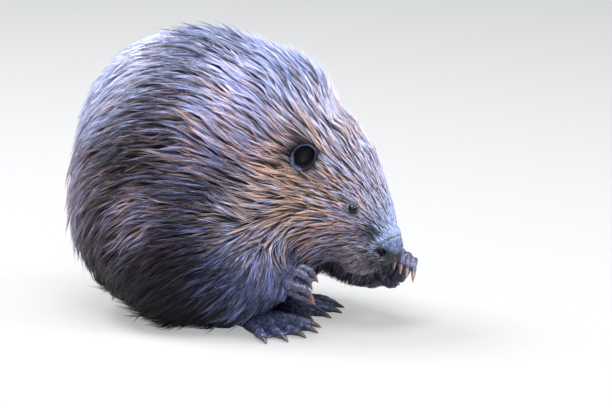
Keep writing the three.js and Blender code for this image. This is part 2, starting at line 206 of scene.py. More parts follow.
def middle(node):
    """The middle of a CAD node's box."""
    low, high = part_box(node)
    return np.array((low + high) / 2)


EYE_FORWARD = 36 * MM  # the eyes in the head's frame, from the skull's centre
EYE_UP = 5 * MM
EYE_RADIUS = 6.2 * MM
NOSE_DROP = math.radians(10.6)  # the nose lies this far under the forward axis, seen from between the eyes
EYES = {-1: middle("eye_right"), 1: middle("eye_left")}
EYES_MIDDLE = (EYES[-1] + EYES[1]) / 2
LEFT = unit(EYES[1] - EYES[-1])
to_nose = unit(middle("nose") - EYES_MIDDLE)
to_nose = unit(to_nose - LEFT * (to_nose @ LEFT))
FORWARD = to_nose * math.cos(NOSE_DROP) + np.cross(to_nose, LEFT) * math.sin(NOSE_DROP)
UP = np.cross(FORWARD, LEFT)
HEAD_AT = EYES_MIDDLE - FORWARD * EYE_FORWARD - UP * EYE_UP
HEAD_AXES = np.array([FORWARD, LEFT, UP])
MIDLINE = (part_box("thigh_right")[0].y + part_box("thigh_left")[1].y) / 2


def in_head(points):
    """Points in the head's frame: forward, to the left and up from the skull's centre, in millimetres."""
    return (points - HEAD_AT) @ HEAD_AXES.T / MM


def from_head(local):
    """Places in the head's frame, back in the part's."""
    return HEAD_AT + np.asarray(local) * MM @ HEAD_AXES


# Places in the head's frame, in millimetres.
NOSE_TIP = (93, 0, -4)
PAD_AT, PAD_SIZE = (90.5, 0, -5), (17, 25, 12.5)  # the bare nose
FACE_AT, FACE_INNER, FACE_OUTER = (45, 0, 0), 80, 130  # the head's coat, which fades into the neck's


def off_pad(points):
    """How far points lie from the nose pad's middle, squared, where its edge is at 1."""
    return (((in_head(points) - np.array(PAD_AT)) / np.array(PAD_SIZE)) ** 2).sum(1)


def share_of_head(points):
    """1 on the head, 0 past the neck."""
    away = np.linalg.norm(in_head(points) - np.array(FACE_AT), axis=1)
    return 1 - smooth_step(away, FACE_INNER, FACE_OUTER)


def fade_round_eyes(values, points, low, inner, outer):
    """The values, cut to a low share at the eyes that rises to 1 between two distances, in millimetres."""
    for eye in EYES.values():
        away = np.linalg.norm(points - eye, axis=1) / MM
        values = values * (low + (1 - low) * smooth_step(away, inner, outer))
    return values


# ---------------------------------------------------------------- meshes as arrays


def mesh_from(name, points, faces):
    """A smooth-shaded object from an array of points and one of triangles."""
    mesh = bpy.data.meshes.new(name)
    mesh.vertices.add(len(points))
    mesh.vertices.foreach_set("co", np.ascontiguousarray(points, np.float32).ravel())
    mesh.loops.add(3 * len(faces))
    mesh.loops.foreach_set("vertex_index", np.ascontiguousarray(faces, np.int32).ravel())
    mesh.polygons.add(len(faces))
    mesh.polygons.foreach_set("loop_start", np.arange(0, 3 * len(faces), 3, dtype=np.int32))
    mesh.update(calc_edges=True)
    mesh.validate()
    mesh.polygons.foreach_set("use_smooth", np.ones(len(faces), bool))
    piece = bpy.data.objects.new(name, mesh)
    bpy.context.scene.collection.objects.link(piece)
    return piece


def mesh_object(name, points, faces, finish, slot):
    """A finished piece of the animal from its arrays."""
    piece = mesh_from(name, points, faces)
    piece.data.materials.append(finish)
    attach(piece, "root")
    return piece


def set_attribute(mesh, name, values):
    """A number or a colour for each vertex."""
    if values.ndim == 1:
        mesh.attributes.new(name, "FLOAT", "POINT").data.foreach_set("value", values.astype(np.float32))
    else:
        colours = np.ones((len(values), 4), np.float32)
        colours[:, :3] = values
        mesh.attributes.new(name, "FLOAT_COLOR", "POINT").data.foreach_set("color", colours.ravel())


def arrays_of(mesh):
    """Points, triangles and edges of a mesh."""
    points = np.empty(len(mesh.vertices) * 3, np.float32)
    mesh.vertices.foreach_get("co", points)
    mesh.calc_loop_triangles()
    faces = np.empty(len(mesh.loop_triangles) * 3, np.int32)
    mesh.loop_triangles.foreach_get("vertices", faces)
    edges = np.empty(len(mesh.edges) * 2, np.int32)
    mesh.edges.foreach_get("vertices", edges)
    return points.reshape(-1, 3).astype(float), faces.reshape(-1, 3), edges.reshape(-1, 2)


def long_normals(points, faces):
    """Each triangle's normal, as long as twice its area."""
    a, b, c = (points[faces[:, i]] for i in range(3))
    return np.cross(b - a, c - a)


def vertex_normals(points, faces):
    """The mean normal at each point, weighed by area."""
    flat = long_normals(points, faces)
    total = np.zeros_like(points)
    for corner in range(3):
        for axis in range(3):
            total[:, axis] += np.bincount(faces[:, corner], flat[:, axis], len(points))
    return unit(total)


def relaxed(values, edges, times, share=0.5):
    """Values on the vertices, each moved towards the mean of its neighbours, so many times."""
    values = values.astype(float)
    flat = values.ndim == 1
    values = values[:, None] if flat else values
    count = len(values)
    a, b = edges[:, 0], edges[:, 1]
    near = np.maximum(np.bincount(a, minlength=count) + np.bincount(b, minlength=count), 1)
    share = np.broadcast_to(np.asarray(share, float), (count,))
    for _ in range(times):
        for axis in range(values.shape[1]):
            column = values[:, axis]
            mean = (np.bincount(a, column[b], count) + np.bincount(b, column[a], count)) / near
            values[:, axis] = column + share * (mean - column)
    return values[:, 0] if flat else values


def smooth_step(x, low, high):
    """0 below the low end, 1 above the high one, and a smooth rise between."""
    t = np.clip((x - low) / (high - low), 0, 1)
    return t * t * (3 - 2 * t)


def near(points, at, reach):
    """1 at a point, falling to 0 with distance."""
    return np.exp(-((points - np.asarray(at)) ** 2).sum(-1) / (2 * reach**2))


def smooth_curve(stations, count):
    """A smooth curve through rows of numbers, at so many even steps."""
    stations = np.asarray(stations, float)
    rows = np.vstack([2 * stations[0] - stations[1], stations, 2 * stations[-1] - stations[-2]])
    t = np.linspace(0, len(stations) - 1, count)
    i = np.minimum(t.astype(int), len(stations) - 2)
    u = (t - i)[:, None]
    a, b, c, d = (rows[i + k] for k in range(4))
    return 0.5 * (2 * b + (c - a) * u + (2 * a - 5 * b + 4 * c - d) * u**2 + (3 * b - a - 3 * c + d) * u**3)


def sweep(stations, rings=20, sides=16, flat=1.0, knuckles=0.0):
    """Points and triangles of a closed round-ended tube through rows of place and radius, in millimetres."""
    rows = smooth_curve(stations, rings)
    centre, radius = rows[:, :3], np.maximum(rows[:, 3], 0.05)
    along = unit(np.gradient(centre, axis=0))
    t = np.linspace(0, 1, rings)
    radius = radius * (1 + knuckles * np.cos(t * 2 * math.pi * (len(stations) - 1)))
    cap = np.radians([65, 40, 18])
    start, end = (
        [(centre[i] + way * radius[i] * math.sin(a), along[i], radius[i] * math.cos(a)) for a in cap]
        for i, way in ((0, -along[0]), (-1, along[-1]))
    )
    stack = start + list(zip(centre, along, radius)) + end[::-1]
    centre, along, radius = (np.array(part) for part in zip(*stack))
    axis = np.eye(3)[2 if abs(unit(centre[-1] - centre[0])[2]) < 0.75 else 1]
    side = unit(np.cross(along, axis))
    top = np.cross(side, along)
    turn = np.linspace(0, 2 * math.pi, sides, endpoint=False)
    c, s = np.cos(turn)[None, :, None], np.sin(turn)[None, :, None]
    round_part = c * side[:, None] + flat * s * top[:, None]
    points = centre[:, None] + radius[:, None, None] * round_part
    points = np.vstack([points.reshape(-1, 3), centre[0], centre[-1]])
    return points, rings_to_triangles(len(centre), sides)


def rings_to_triangles(rings, sides):
    """Triangles over rings of corners, closed by a last but one and a last point at the two ends."""
    a = np.arange(rings - 1)[:, None] * sides + np.arange(sides)[None]
    b = np.arange(rings - 1)[:, None] * sides + (np.arange(sides)[None] + 1) % sides
    walls = np.stack([a, b, b + sides, a, b + sides, a + sides], -1).reshape(-1, 3)
    n = np.arange(sides)
    first, last = rings * sides, rings * sides + 1
    low = np.stack([np.full(sides, first), (n + 1) % sides, n], 1)
    start = (rings - 1) * sides
    high = np.stack([np.full(sides, last), start + n, start + (n + 1) % sides], 1)
    return np.vstack([walls, low, high])[:, ::-1]


def joined(shapes):
    """One pair of arrays from several pairs of points and triangles."""
    starts = np.cumsum([0] + [len(p) for p, _ in shapes[:-1]])
    return np.vstack([p for p, _ in shapes]), np.vstack([f + start for (_, f), start in zip(shapes, starts)])


def outward(points, faces):
    """The triangles, turned round if the closed shape is inside out."""
    a, b, c = (points[faces[:, i]] for i in range(3))
    return faces if (a * np.cross(b, c)).sum() > 0 else faces[:, ::-1]


# ---------------------------------------------------------------- the skin

# How deep the coat lies over each part of the body, in millimetres.
COAT_DEPTH = {"trunk": 13, "neck": 11, "thigh": 11, "upper_arm": 10, "forearm": 5, "tail_root": 5}
# The head's parts, the coat's depth at its back, and that at the nose for the skin and for the hair on it.
HEAD_PARTS = ("head", "lower_jaw", "nose")
HEAD_COAT, SHORTEST_COAT, SHORTEST_HAIR = 9, 0.6, 0.9
HEAD_COAT_FROM, HEAD_COAT_TO = 14, 135  # how far from the nose's tip it starts and stops getting deeper
FLESH = [n for n in sorted(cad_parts) if not n.startswith(("claw", "eye"))]
EYE_NODES = ["eye_right", "eye_left"]
SKIN_VOXEL = 2.0 * MM


def kind_of(node):
    """A furred node's name without its side."""
    return next(kind for kind in (*COAT_DEPTH, *HEAD_PARTS) if node.startswith(kind))


def flesh_copy(names):
    """One mesh object from copies of CAD nodes, a hair fatter so that they run together."""
    shape = bmesh.new()
    for name in names:
        shape.from_mesh(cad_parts[name].data)
    bmesh.ops.remove_doubles(shape, verts=shape.verts, dist=1e-5)
    shape.normal_update()
    for vertex in shape.verts:
        vertex.co += vertex.normal * 0.4 * MM
    mesh = bpy.data.meshes.new("flesh")
    shape.to_mesh(mesh)
    shape.free()
    piece = bpy.data.objects.new("flesh", mesh)
    bpy.context.scene.collection.objects.link(piece)
    return piece


def use_modifier(piece, kind, **settings):
    """Adds a modifier to a piece and applies it."""
    bpy.ops.object.select_all(action="DESELECT")
    bpy.context.view_layer.objects.active = piece
    piece.select_set(True)
    modifier = piece.modifiers.new(kind.lower(), kind)
    for key, value in settings.items():
        setattr(modifier, key, value)
    bpy.ops.object.modifier_apply(modifier=modifier.name)


def largest_island(count, edges):
    """A mask of the vertices in the largest connected part."""
    label = np.arange(count)
    a, b = edges[:, 0], edges[:, 1]
    while True:
        low = np.minimum(label[a], label[b])
        before = label.copy()
        np.minimum.at(label, a, low)
        np.minimum.at(label, b, low)
        label = label[label]
        if (label == before).all():
            break
    return label == np.bincount(label).argmax()


def coat_depth(points, kinds, shortest):
    """How deep the coat lies, in millimetres. On the head it gets shallower towards the nose."""
    from_nose = np.linalg.norm(in_head(points) - np.array(NOSE_TIP), axis=1)
    growth = smooth_step(from_nose, HEAD_COAT_FROM, HEAD_COAT_TO)
    elsewhere = np.array([COAT_DEPTH.get(kind, 0) for kind in kinds], float)
    return np.where(np.isin(kinds, HEAD_PARTS), shortest + (HEAD_COAT - shortest) * growth, elsewhere)


def node_under(points):
    """The kind of the CAD node nearest to each point."""
    corners, triangles, owner, start = [], [], [], 0
    for name in FURRED:
        p, f, _ = arrays_of(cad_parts[name].data)
        corners.append(p)
        triangles.append(f + start)
        owner += [kind_of(name)] * len(f)
        start += len(p)
    tree = BVHTree.FromPolygons(np.concatenate(corners).tolist(), np.concatenate(triangles).tolist())
    owner = np.array(owner)
    return owner[[tree.find_nearest(p)[2] for p in points.tolist()]]


FURRED = [n for n in FLESH if not n.startswith(("ear", "forepaw", "hind_foot", "tail_blade"))]
flesh = flesh_copy(FURRED + EYE_NODES)
use_modifier(flesh, "REMESH", mode="VOXEL", voxel_size=SKIN_VOXEL)
points, faces, edges = arrays_of(flesh.data)
keep = largest_island(len(points), edges)
shape = bmesh.new()
shape.from_mesh(flesh.data)
shape.verts.ensure_lookup_table()
bmesh.ops.delete(shape, geom=[shape.verts[i] for i in np.where(~keep)[0]], context="VERTS")
shape.to_mesh(flesh.data)
shape.free()
points, faces, edges = arrays_of(flesh.data)

kinds = node_under(points)
depth = coat_depth(points, kinds, SHORTEST_COAT)
depth[kinds == "nose"] = 0
depth = fade_round_eyes(depth, points, 0, 4, 24)
depth = relaxed(depth, edges, 30)
smooth_share = 0.5 * np.clip(depth / 4, 0.12, 1)
INSET_STEPS = 6
for _ in range(INSET_STEPS):
    points = relaxed(points, edges, 3, smooth_share)
    points -= vertex_normals(points, faces) * (depth * MM / INSET_STEPS)[:, None]
points = relaxed(points, edges, 10, smooth_share)
points[:, 2] = np.maximum(points[:, 2], 0.0)
flesh.data.vertices.foreach_set("co", points.astype(np.float32).ravel())
flesh.data.update()


# ---------------------------------------------------------------- the face


def finer(mesh, mask, times):
    """Cuts the edges whose two ends the mask picks in half, so many times. Returns the new arrays."""
    shape = bmesh.new()
    shape.from_mesh(mesh)
    for _ in range(times):
        where = mask(np.array([v.co for v in shape.verts]))
        shape.verts.ensure_lookup_table()
        chosen = [e for e in shape.edges if where[e.verts[0].index] and where[e.verts[1].index]]
        bmesh.ops.subdivide_edges(shape, edges=chosen, cuts=1, use_grid_fill=True)
        shape.verts.index_update()
    bmesh.ops.triangulate(shape, faces=[f for f in shape.faces if len(f.verts) > 4])
    shape.to_mesh(mesh)
    shape.free()
    return arrays_of(mesh)


def face_detail(points):
    """True where the lids, the nostrils and the lips need a finer mesh."""
    local = in_head(points)
    picked = (local[:, 0] > 80) & (np.abs(local[:, 1]) < 26) & (local[:, 2] > -34)
    for eye in EYES.values():
        picked |= np.linalg.norm(points - eye, axis=1) < 13 * MM
    return picked


points, faces, edges = finer(flesh.data, face_detail, 2)
points = relaxed(points, edges, 6, np.where(face_detail(points), 0.5, 0.0))

EYE_LONG, EYE_HIGH = math.radians(52), math.radians(44)  # half the lids' opening, seen from the ball's centre
LID = 1.0  # how thick the lid's edge is, in millimetres
eye_axes = {}


def open_lids(points, side):
    """Draws the skin over the eyeball and opens it between the lids."""
    centre = EYES[side]
    towards = points - centre
    away = np.linalg.norm(towards, axis=1)
    normals = vertex_normals(points, faces)
    around = (away > 8 * MM) & (away < 15 * MM) & ((towards * normals).sum(1) > 0)
    out = unit(normals[around].mean(0))
    long_way = unit(FORWARD - out * (FORWARD @ out) - 0.25 * (UP - out * (UP @ out)))
    high_way = np.cross(out, long_way) * (1 if np.cross(out, long_way) @ UP > 0 else -1)
    eye_axes[side] = (out, long_way, high_way)
    direction = unit(towards)
    angle = np.arccos(np.clip(direction @ out, -1, 1))
    x, y = direction @ long_way, direction @ high_way
    turn = np.arctan2(y, x)
    opening = 1 / np.sqrt((np.cos(turn) / EYE_LONG) ** 2 + (np.sin(turn) / EYE_HIGH) ** 2)
    opening = opening * np.where(np.abs(np.cos(turn)) > 0.7, 1 + 0.12 * (np.abs(np.cos(turn)) - 0.7) / 0.3, 1)
    past = np.degrees(angle - opening)
    roll = np.exp(-((past - 7) / 9) ** 2)
    upper = smooth_step(np.sin(turn), -0.2, 0.6)
    shell = EYE_RADIUS + MM * (0.25 + LID * roll * (0.75 + 0.45 * upper))
    inside = smooth_step(-past, -1.5, 2.5)
    wanted = np.maximum(away, shell) * (1 - inside) + (EYE_RADIUS - 1.6 * MM) * inside
    reach = (away < 14 * MM) & (angle < math.radians(100))
    # A crease above the upper lid and a softer one under the lower lid.
    crease = np.exp(-((past - 24) / 6) ** 2) * (0.35 + 0.5 * upper) * MM
    wanted = np.where(past > 10, wanted - crease, wanted)
    points[reach] = (centre + direction * wanted[:, None])[reach]


for side in EYES:
    open_lids(points, side)


def pressed(points, at, radii, amount):
    """Moves the skin inwards, or outwards for a negative amount, round a place in the head's frame."""
    local = in_head(points)
    fall = np.exp(-(((local - np.asarray(at)) / np.asarray(radii)) ** 2).sum(1) * 1.5)
    return points - vertex_normals(points, faces) * (fall * amount * MM)[:, None]


for side in (-1, 1):
    points = pressed(points, (84, 22 * side, 0), (10, 6, 4), -2.2)  # the wing over the nostril
    points = pressed(points, (95, 16 * side, -12), (6, 6, 3.5), -1.6)
    points = pressed(points, (91, 19 * side, -5.5), (5.5, 6, 3.6), 5.0)  # the nostril
    points = pressed(points, (89, 18 * side, -6), (4.5, 5, 2.6), 4.5)
    points = pressed(points, (84, 21 * side, -8.5), (4.5, 5, 1.8), 3.6)  # its tail
    points = pressed(points, (100, 8 * side, 3), (7, 6, 6), -1.4)  # the pad's two swellings
    points = pressed(points, (80, 15 * side, -26), (14, 9, 8), -3.2)  # the lip's pads
    for reach in np.linspace(0, 1, 11):
        at = (96 - 60 * reach, (8 + 22 * reach) * side, -33 + 2 * reach)
        points = pressed(points, at, (5, 8, 2.0), 3.0)  # the line of the mouth
points = pressed(points, (106, 0, -6), (8, 1.6, 9), 2.2)  # the groove under the nose
points = pressed(points, (99, 0, 6), (9, 2.2, 5), 1.2)
points = pressed(points, (95, 0, -22), (10, 1.6, 9), 2.0)
points = pressed(points, (-25, 0, 44), (24, 36, 18), -8.5)  # the nape runs smoothly into the crown
for side in (-1, 1):
    points = pressed(points, (-27, 22 * side, 34), (20, 20, 18), -6.5)
points = pressed(points, (-74, 0, 44), (24, 44, 22), 5.0)
MUZZLE_BACK, MUZZLE_DOWN = 3.0, 4.0  # how far the muzzle is drawn in, in millimetres
drawn = smooth_step(in_head(points)[:, 0], 46, 82) * MM
points = points - (FORWARD * MUZZLE_BACK + UP * MUZZLE_DOWN) * drawn[:, None]
for side in (-1, 1):
    points = pressed(points, (80, 9 * side, 5), (7, 11, 6), -1.2)  # no crease behind the nose


def pebbled(points, normals, wave, high):
    """The points moved along their normals into small rounded bumps, in millimetres."""
    way = unit(pebble_rng.normal(0, 1, (9, 3)))
    phase = pebble_rng.uniform(0, 2 * math.pi, 9)
    swell = np.sin(points @ way.T / MM * (2 * math.pi / wave) + phase).sum(1) / 3
    return points + normals * (np.tanh(swell * 1.4) * high * MM)[:, None]


on_pad = (1 - smooth_step(off_pad(points), 0.6, 1.0))[:, None]
points = points * (1 - on_pad) + pebbled(points, vertex_normals(points, faces), 2.6, 0.5) * on_pad


# ---------------------------------------------------------------- ears

# The middles of the cups in the head's frame. The left ear is laid back.
EAR_AT = {-1: (-34, -56, 12), 1: (-40, 51, 4)}
EAR_DEEP, EAR_WIDE, EAR_TALL = 16, 12.2, 17.2  # half sizes of the cup, in millimetres
EAR_OUT, EAR_LEAN = math.radians(76), math.radians(24)
EAR_REACH = 32  # how far off the cup the skin is still the ear's bed, in millimetres


def ear_frame(side):
    """The ear's middle and its axes: out of its mouth, across it and up it."""
    mouth = np.array([math.cos(EAR_OUT), math.sin(EAR_OUT) * side, 0]) * math.cos(EAR_LEAN)
    mouth += np.array([0, 0, math.sin(EAR_LEAN)])
    tall = np.array([0, 0, 1]) - mouth * mouth[2]
    mouth, tall = unit(mouth) @ HEAD_AXES, unit(tall) @ HEAD_AXES
    return from_head(EAR_AT[side]), mouth, np.cross(tall, mouth) * side, tall


def from_ear(points, side):
    """How far points lie out of the ear's mouth, in millimetres, and off its middle: 1 at the cup's edge."""
    centre, mouth, across, tall = ear_frame(side)
    away = (points - centre) / MM
    return away @ mouth, np.hypot(away @ across / EAR_WIDE, away @ tall / EAR_TALL)


def ear_bed(points, side):
    """The skin round the ear, ironed flat and drawn in behind the cup."""
    out, off = from_ear(points, side)
    flat = 0.5 * (1 - smooth_step(off, 1.7, 2.5)) * (np.abs(out) < EAR_REACH)
    points = relaxed(points, edges, 120, flat)
    out, off = from_ear(points, side)
    share = (1 - smooth_step(off, 1.9, 2.5)) * (np.abs(out) < EAR_REACH)
    low = -16 + 18 * smooth_step(off, 0.78, 1.02) + 13 * np.maximum(off - 1.02, 0)
    points = points - ear_frame(side)[1] * (np.maximum(out - low, 0) * share * MM)[:, None]
    return relaxed(points, edges, 2, flat * (off > 1))


for side in EYES:
    points = ear_bed(points, side)
points[:, 2] = np.maximum(points[:, 2], 0.0)
normals = vertex_normals(points, faces)


def ear_shell(side):
    """An open cup, thin-edged above and thick below, and for each corner its painted light and shade and how
    wet it is.
    """
    centre, mouth, across, tall = ear_frame(side)
    around = 72
    turn = np.linspace(0, 2 * math.pi, around, endpoint=False)
    c, s = np.cos(turn), np.sin(turn)
    above = smooth_step(c * 0.65 + s * 0.76, 0.0, 0.8)
    below = smooth_step(0.25 * c - s, 0.3, 0.95)
    before = smooth_step(-c * 0.75 - s * 0.66, 0.1, 1.0)
    wall = 0.07 + 0.05 * (1 - above) + 0.20 * below  # how thick the edge is
    outer = [(math.sin(a), -math.cos(a)) for a in np.linspace(0.02, 0.60, 12) * math.pi]
    edge = [(0.06, 0.37), (0.30, 0.43), (0.65, 0.44), (0.95, 0.37)]  # share of the wall and height
    bowl = [(0.99, 0.27), (0.97, 0.12), (0.95, -0.05), (0.92, -0.22), (0.84, -0.40), (0.72, -0.55)]
    bowl += [(0.55, -0.68), (0.36, -0.76), (0.17, -0.80), (0.012, -0.81)]
    profile = [(radius, high, 0) for radius, high in outer]
    profile += [(0.975 - wall * share, high, 1) for share, high in edge]
    profile += [((0.975 - wall) * share, high, 2) for share, high in bowl]
    rings, ear_light_and_shade, wet = [], [], []
    for radius, high, kind in profile:
        radius = np.broadcast_to(radius, (around,))
        # The edge gets a painted highlight above and below, and the bowl painted shade in its hollow, with a
        # painted lit wall low down near the edge.
        if kind == 1:
            shade = 0.16 + 0.62 * above * (1.05 - 0.5 * c) + 0.5 * below
        elif kind == 2:
            shade = 0.02 + 0.55 * below * max(high + 0.35, 0)
        else:
            shade = np.full(around, 0.14)
        ear_light_and_shade.append(shade)
        wet.append(np.full(around, 0.35 if kind == 2 else 0.75))
        # The edge is highest at the top and behind, and dips in front below.
        dip = 0.26 * before * smooth_step(np.array(high), -0.5, 0.4)
        curl = 0.05 * smooth_step(s - 0.3 * c, 0.1, 0.9) * smooth_step(np.array(high), 0.0, 0.4)
        wave = 0.018 * np.sin(3 * turn + 0.8) + 0.012 * np.sin(7 * turn)
        r = radius * (1 + wave) - curl
        if kind == 2:
            r = r - 0.10 * before * np.minimum(radius / 0.8, 1)
        step = (mouth * (high - dip)[:, None] * EAR_DEEP + across * (r * c)[:, None] * EAR_WIDE) * MM
        rings.append(centre + step + tall * (r * s)[:, None] * EAR_TALL * MM)
    p = np.concatenate(rings)
    triangles = []
    for ring in range(len(profile) - 1):
        for number in range(around):
            a, b = ring * around + number, ring * around + (number + 1) % around
            triangles += [(a, b, b + around), (a, b + around, a + around)]
    last = (len(profile) - 1) * around
    triangles += [(0, n + 1, n) for n in range(1, around - 1)]
    triangles += [(last, last + n, last + n + 1) for n in range(1, around - 1)]
    triangles = np.array(triangles)
    normal = vertex_normals(p, triangles)
    if ((p[: around * 6] - centre) * normal[: around * 6]).sum() < 0:
        triangles = triangles[:, ::-1]
    return (p, triangles), np.concatenate(ear_light_and_shade), np.concatenate(wet)


# ---------------------------------------------------------------- paws, feet and tail

# Where the limbs' own millimetres start, in the part's frame.
LIMB_AT = np.array((19.95, -84.67, 6.0))
# Each forepaw's wrist and palm, and its digits from knuckle to tip, the thumb last.
WRIST = {"right": (78, -80, 47), "left": (138, 48, 32)}
PALM = {"right": (87, -78, 50), "left": (151, 41, 38)}
DIGITS = {
    "right": [
        [(86, -82, 56), (94, -86, 64), (103, -86, 61), (105, -80, 54)],
        [(86, -74, 57), (96, -76, 66), (105, -76, 64), (107, -70, 59)],
        [(87, -86, 50), (96, -90, 50), (103, -87, 47), (106, -82, 42)],
        [(85, -82, 43), (93, -85, 40), (99, -82, 37), (103, -78, 35)],
        [(84, -70, 51), (90, -62, 50), (95, -57, 50), (98, -54, 50)],
    ],
    "left": [
        [
            (150 + 6 * i, 38 - 2 * i, 38),
            (160 + 7 * i, 32 - i, 64 - 3 * i),
            (166 + 7 * i, 20, 73 - 4 * i),
            (169 + 7 * i, 8, 64 - 4 * i),
        ]
        for i in range(4)
    ]
    + [[(150, 28, 34), (159, 20, 33), (167, 13, 35), (172, 8, 38)]],
}
DIGIT_RADII = [(5.2, 4.7, 4.2, 3.1)] * 2 + [(6.2, 5.2, 4.4, 3.2), (4.9, 4.1, 3.6, 2.6), (4.6, 3.9, 3.3, 2.3)]
THUMB = 4
PAW_VOXEL, FOOT_VOXEL = 0.9 * MM, 1.35 * MM

# Each hind foot's place, heading in degrees, and which way its outer toe lies.
FEET = {"right": ((69.95, -144.67, 0), -22, -1), "left": ((63.95, -58.67, 0), 6, 1)}
TOE_SPREAD = (-30, -14, 1, 15, 29)  # degrees from the foot's heading, inner toe first
TOE_REACH = (0.74, 0.92, 1.0, 0.98, 0.84)
TOE_LONG = 46
# Along a toe: the share of its length, its height and its radius.
TOE_ROWS = [(0.0, 9.0, 7.0), (0.3, 9.5, 6.4), (0.55, 8.0, 5.7), (0.8, 6.2, 5.5), (1.0, 4.7, 4.1)]


def placed(shape, at=LIMB_AT, turn=0.0):
    """A shape in millimetres, turned about Z and set in the part's frame, in metres."""
    p, f = shape
    c, s = math.cos(turn), math.sin(turn)
    p = np.stack([p[:, 0] * c - p[:, 1] * s, p[:, 0] * s + p[:, 1] * c, p[:, 2]], 1)
    return (p + np.asarray(at)) * MM, f


def fused(shapes, voxel, smoothing):
    """Closed shapes run together into one fine mesh that doesn't reach under the floor."""
    piece = mesh_from("fused", *joined([(p, outward(p, f)) for p, f in shapes]))
    use_modifier(piece, "REMESH", mode="VOXEL", voxel_size=voxel)
    p, f, e = arrays_of(piece.data)
    bpy.data.objects.remove(piece)
    p = relaxed(p, e, smoothing)
    p = pebbled(p, vertex_normals(p, outward(p, f)), 5.0 * voxel / PAW_VOXEL, 0.28)
    p[:, 2] = np.maximum(p[:, 2], 0.0)
    return p, outward(p, f)


def forepaw(word):
    """A small hand: a palm, four long digits and a short thumb."""
    wrist, palm = np.array(WRIST[word], float), np.array(PALM[word], float)
    ahead = unit(palm - wrist)
    hand = [(*(wrist - ahead * 12), 8.5), (*wrist, 9.0), (*palm, 11.0), (*(palm + ahead * 7), 8.5)]
    shapes = [sweep(hand, 16, 20)]
    for points, radii in zip(DIGITS[word], DIGIT_RADII):
        shapes.append(sweep([(*p, r) for p, r in zip(points, radii)], 26, 16, knuckles=0.05))
    return fused([placed(shape) for shape in shapes], PAW_VOXEL, 3)


def toe_line(number, side):
    """A toe's rows of place and radius in the foot's own frame."""
    angle = math.radians(TOE_SPREAD[number] * side)
    length = TOE_LONG * TOE_REACH[number] + 10
    return [
        (-10 + length * t * math.cos(angle), (number - 2) * 8 * side + length * t * math.sin(angle), z, r)
        for t, z, r in TOE_ROWS
    ]


def web(side):
    """The thin skin between the toes, with an edge that draws back between each two."""
    lines = [np.array(toe_line(number, side)) for number in range(len(TOE_SPREAD))]
    ends = [(line[3] + line[4])[:2] / 2 for line in lines]
    edge = [(-14, -18 * side), ends[0]]
    for one, other, a, b in zip(lines, lines[1:], ends, ends[1:]):
        control = (one[3] + other[3])[:2] / 2
        for t in np.linspace(0, 1, 9)[1:]:
            edge.append((1 - t) ** 2 * a + 2 * t * (1 - t) * control + t * t * b)
    edge.append((-14, 18 * side))
    edge = np.array(edge)
    count = len(edge)
    rings = [np.column_stack([edge, np.full(count, z)]) for z in (0.4, 3.4)]
    p = np.vstack(rings + [(0, 0, 0.4), (0, 0, 3.8)])
    return p, rings_to_triangles(2, count)


def hind_foot(word):
    """A long webbed foot, flat on the floor."""
    at, heading, side = FEET[word]
    sole = [(-104, 0, 8, 12), (-59, 0, 9.5, 16), (-16, 0, 9.5, 19), (4, 0, 7, 17)]
    shapes = [sweep(sole, 20, 24, flat=0.58), web(side)]
    for number in range(len(TOE_SPREAD)):
        shapes.append(sweep(toe_line(number, side), 28, 16, knuckles=0.05))
        y = (number - 2) * side
        shapes.append(sweep([(-72, 4 * y, 13, 4), (-38, 6 * y, 15, 4.6), (-8, 8 * y, 10, 6)], 12, 12))
    return fused([placed(shape, at, math.radians(heading)) for shape in shapes], FOOT_VOXEL, 3)


TAIL = {
    "at": (-110.05, -10.67, 0),
    "turn": 108,  # degrees
    "long": 236,
    "wide": 104,
    "widest": 0.45,  # share of its length
    "thick": 17,
    "tip": 7,
}


def tail_outline(t):
    """The blade's half width and thickness at a share of its length."""
    root = 0.42 + 0.58 * np.sin(np.clip(t / TAIL["widest"], 0, 1) * math.pi / 2)
    past = np.clip((t - TAIL["widest"]) / (1 - TAIL["widest"]), 0, 1)
    half = TAIL["wide"] / 2 * np.where(t < TAIL["widest"], root, np.sqrt(np.maximum(1 - past**4, 0.0)))
    return half, TAIL["thick"] + (TAIL["tip"] - TAIL["thick"]) * t


def tail_top(t, across):
    """Places on the blade's upper side: the share of its length and of its half width."""
    half, thick = tail_outline(t)
    rise = thick * (0.42 + 0.46 * np.maximum(1 - across**2, 0) ** 0.4)
    return np.stack([TAIL["long"] * t, half * across, rise], -1)


def tail_blade():
    """The flat oval blade, thickest along its middle."""
    rings, sides = 60, 48
    t = (1 - np.cos(np.linspace(0.02, 0.985, rings) * math.pi)) / 2
    turn = np.linspace(0, 2 * math.pi, sides, endpoint=False)
    half, thick = (v[:, None] for v in tail_outline(t))
    lift = np.sign(np.sin(turn)) * np.abs(np.sin(turn)) ** 0.8
    p = np.stack(
        [
            np.broadcast_to(TAIL["long"] * t[:, None], (rings, sides)),
            half * np.cos(turn),
            thick * (0.42 + np.where(lift > 0, 0.46, 0.42) * lift),
        ],
        -1,
    ).reshape(-1, 3)
    ends = [
        (TAIL["long"] * t[0], 0, TAIL["thick"] * 0.42),
        (TAIL["long"] * t[-1] + 0.4, 0, TAIL["tip"] * 0.42),
    ]
    p = np.vstack([p] + ends)
    p[:, 2] = np.maximum(p[:, 2], 0)
    p, f = placed((p, rings_to_triangles(rings, sides)), TAIL["at"], math.radians(TAIL["turn"]))
    return p, outward(p, f)


# The spacing and the height of the tail's scales, in millimetres.
SCALE_LONG, SCALE_WIDE, SCALE_HIGH = 5.2, 6.6, 0.55


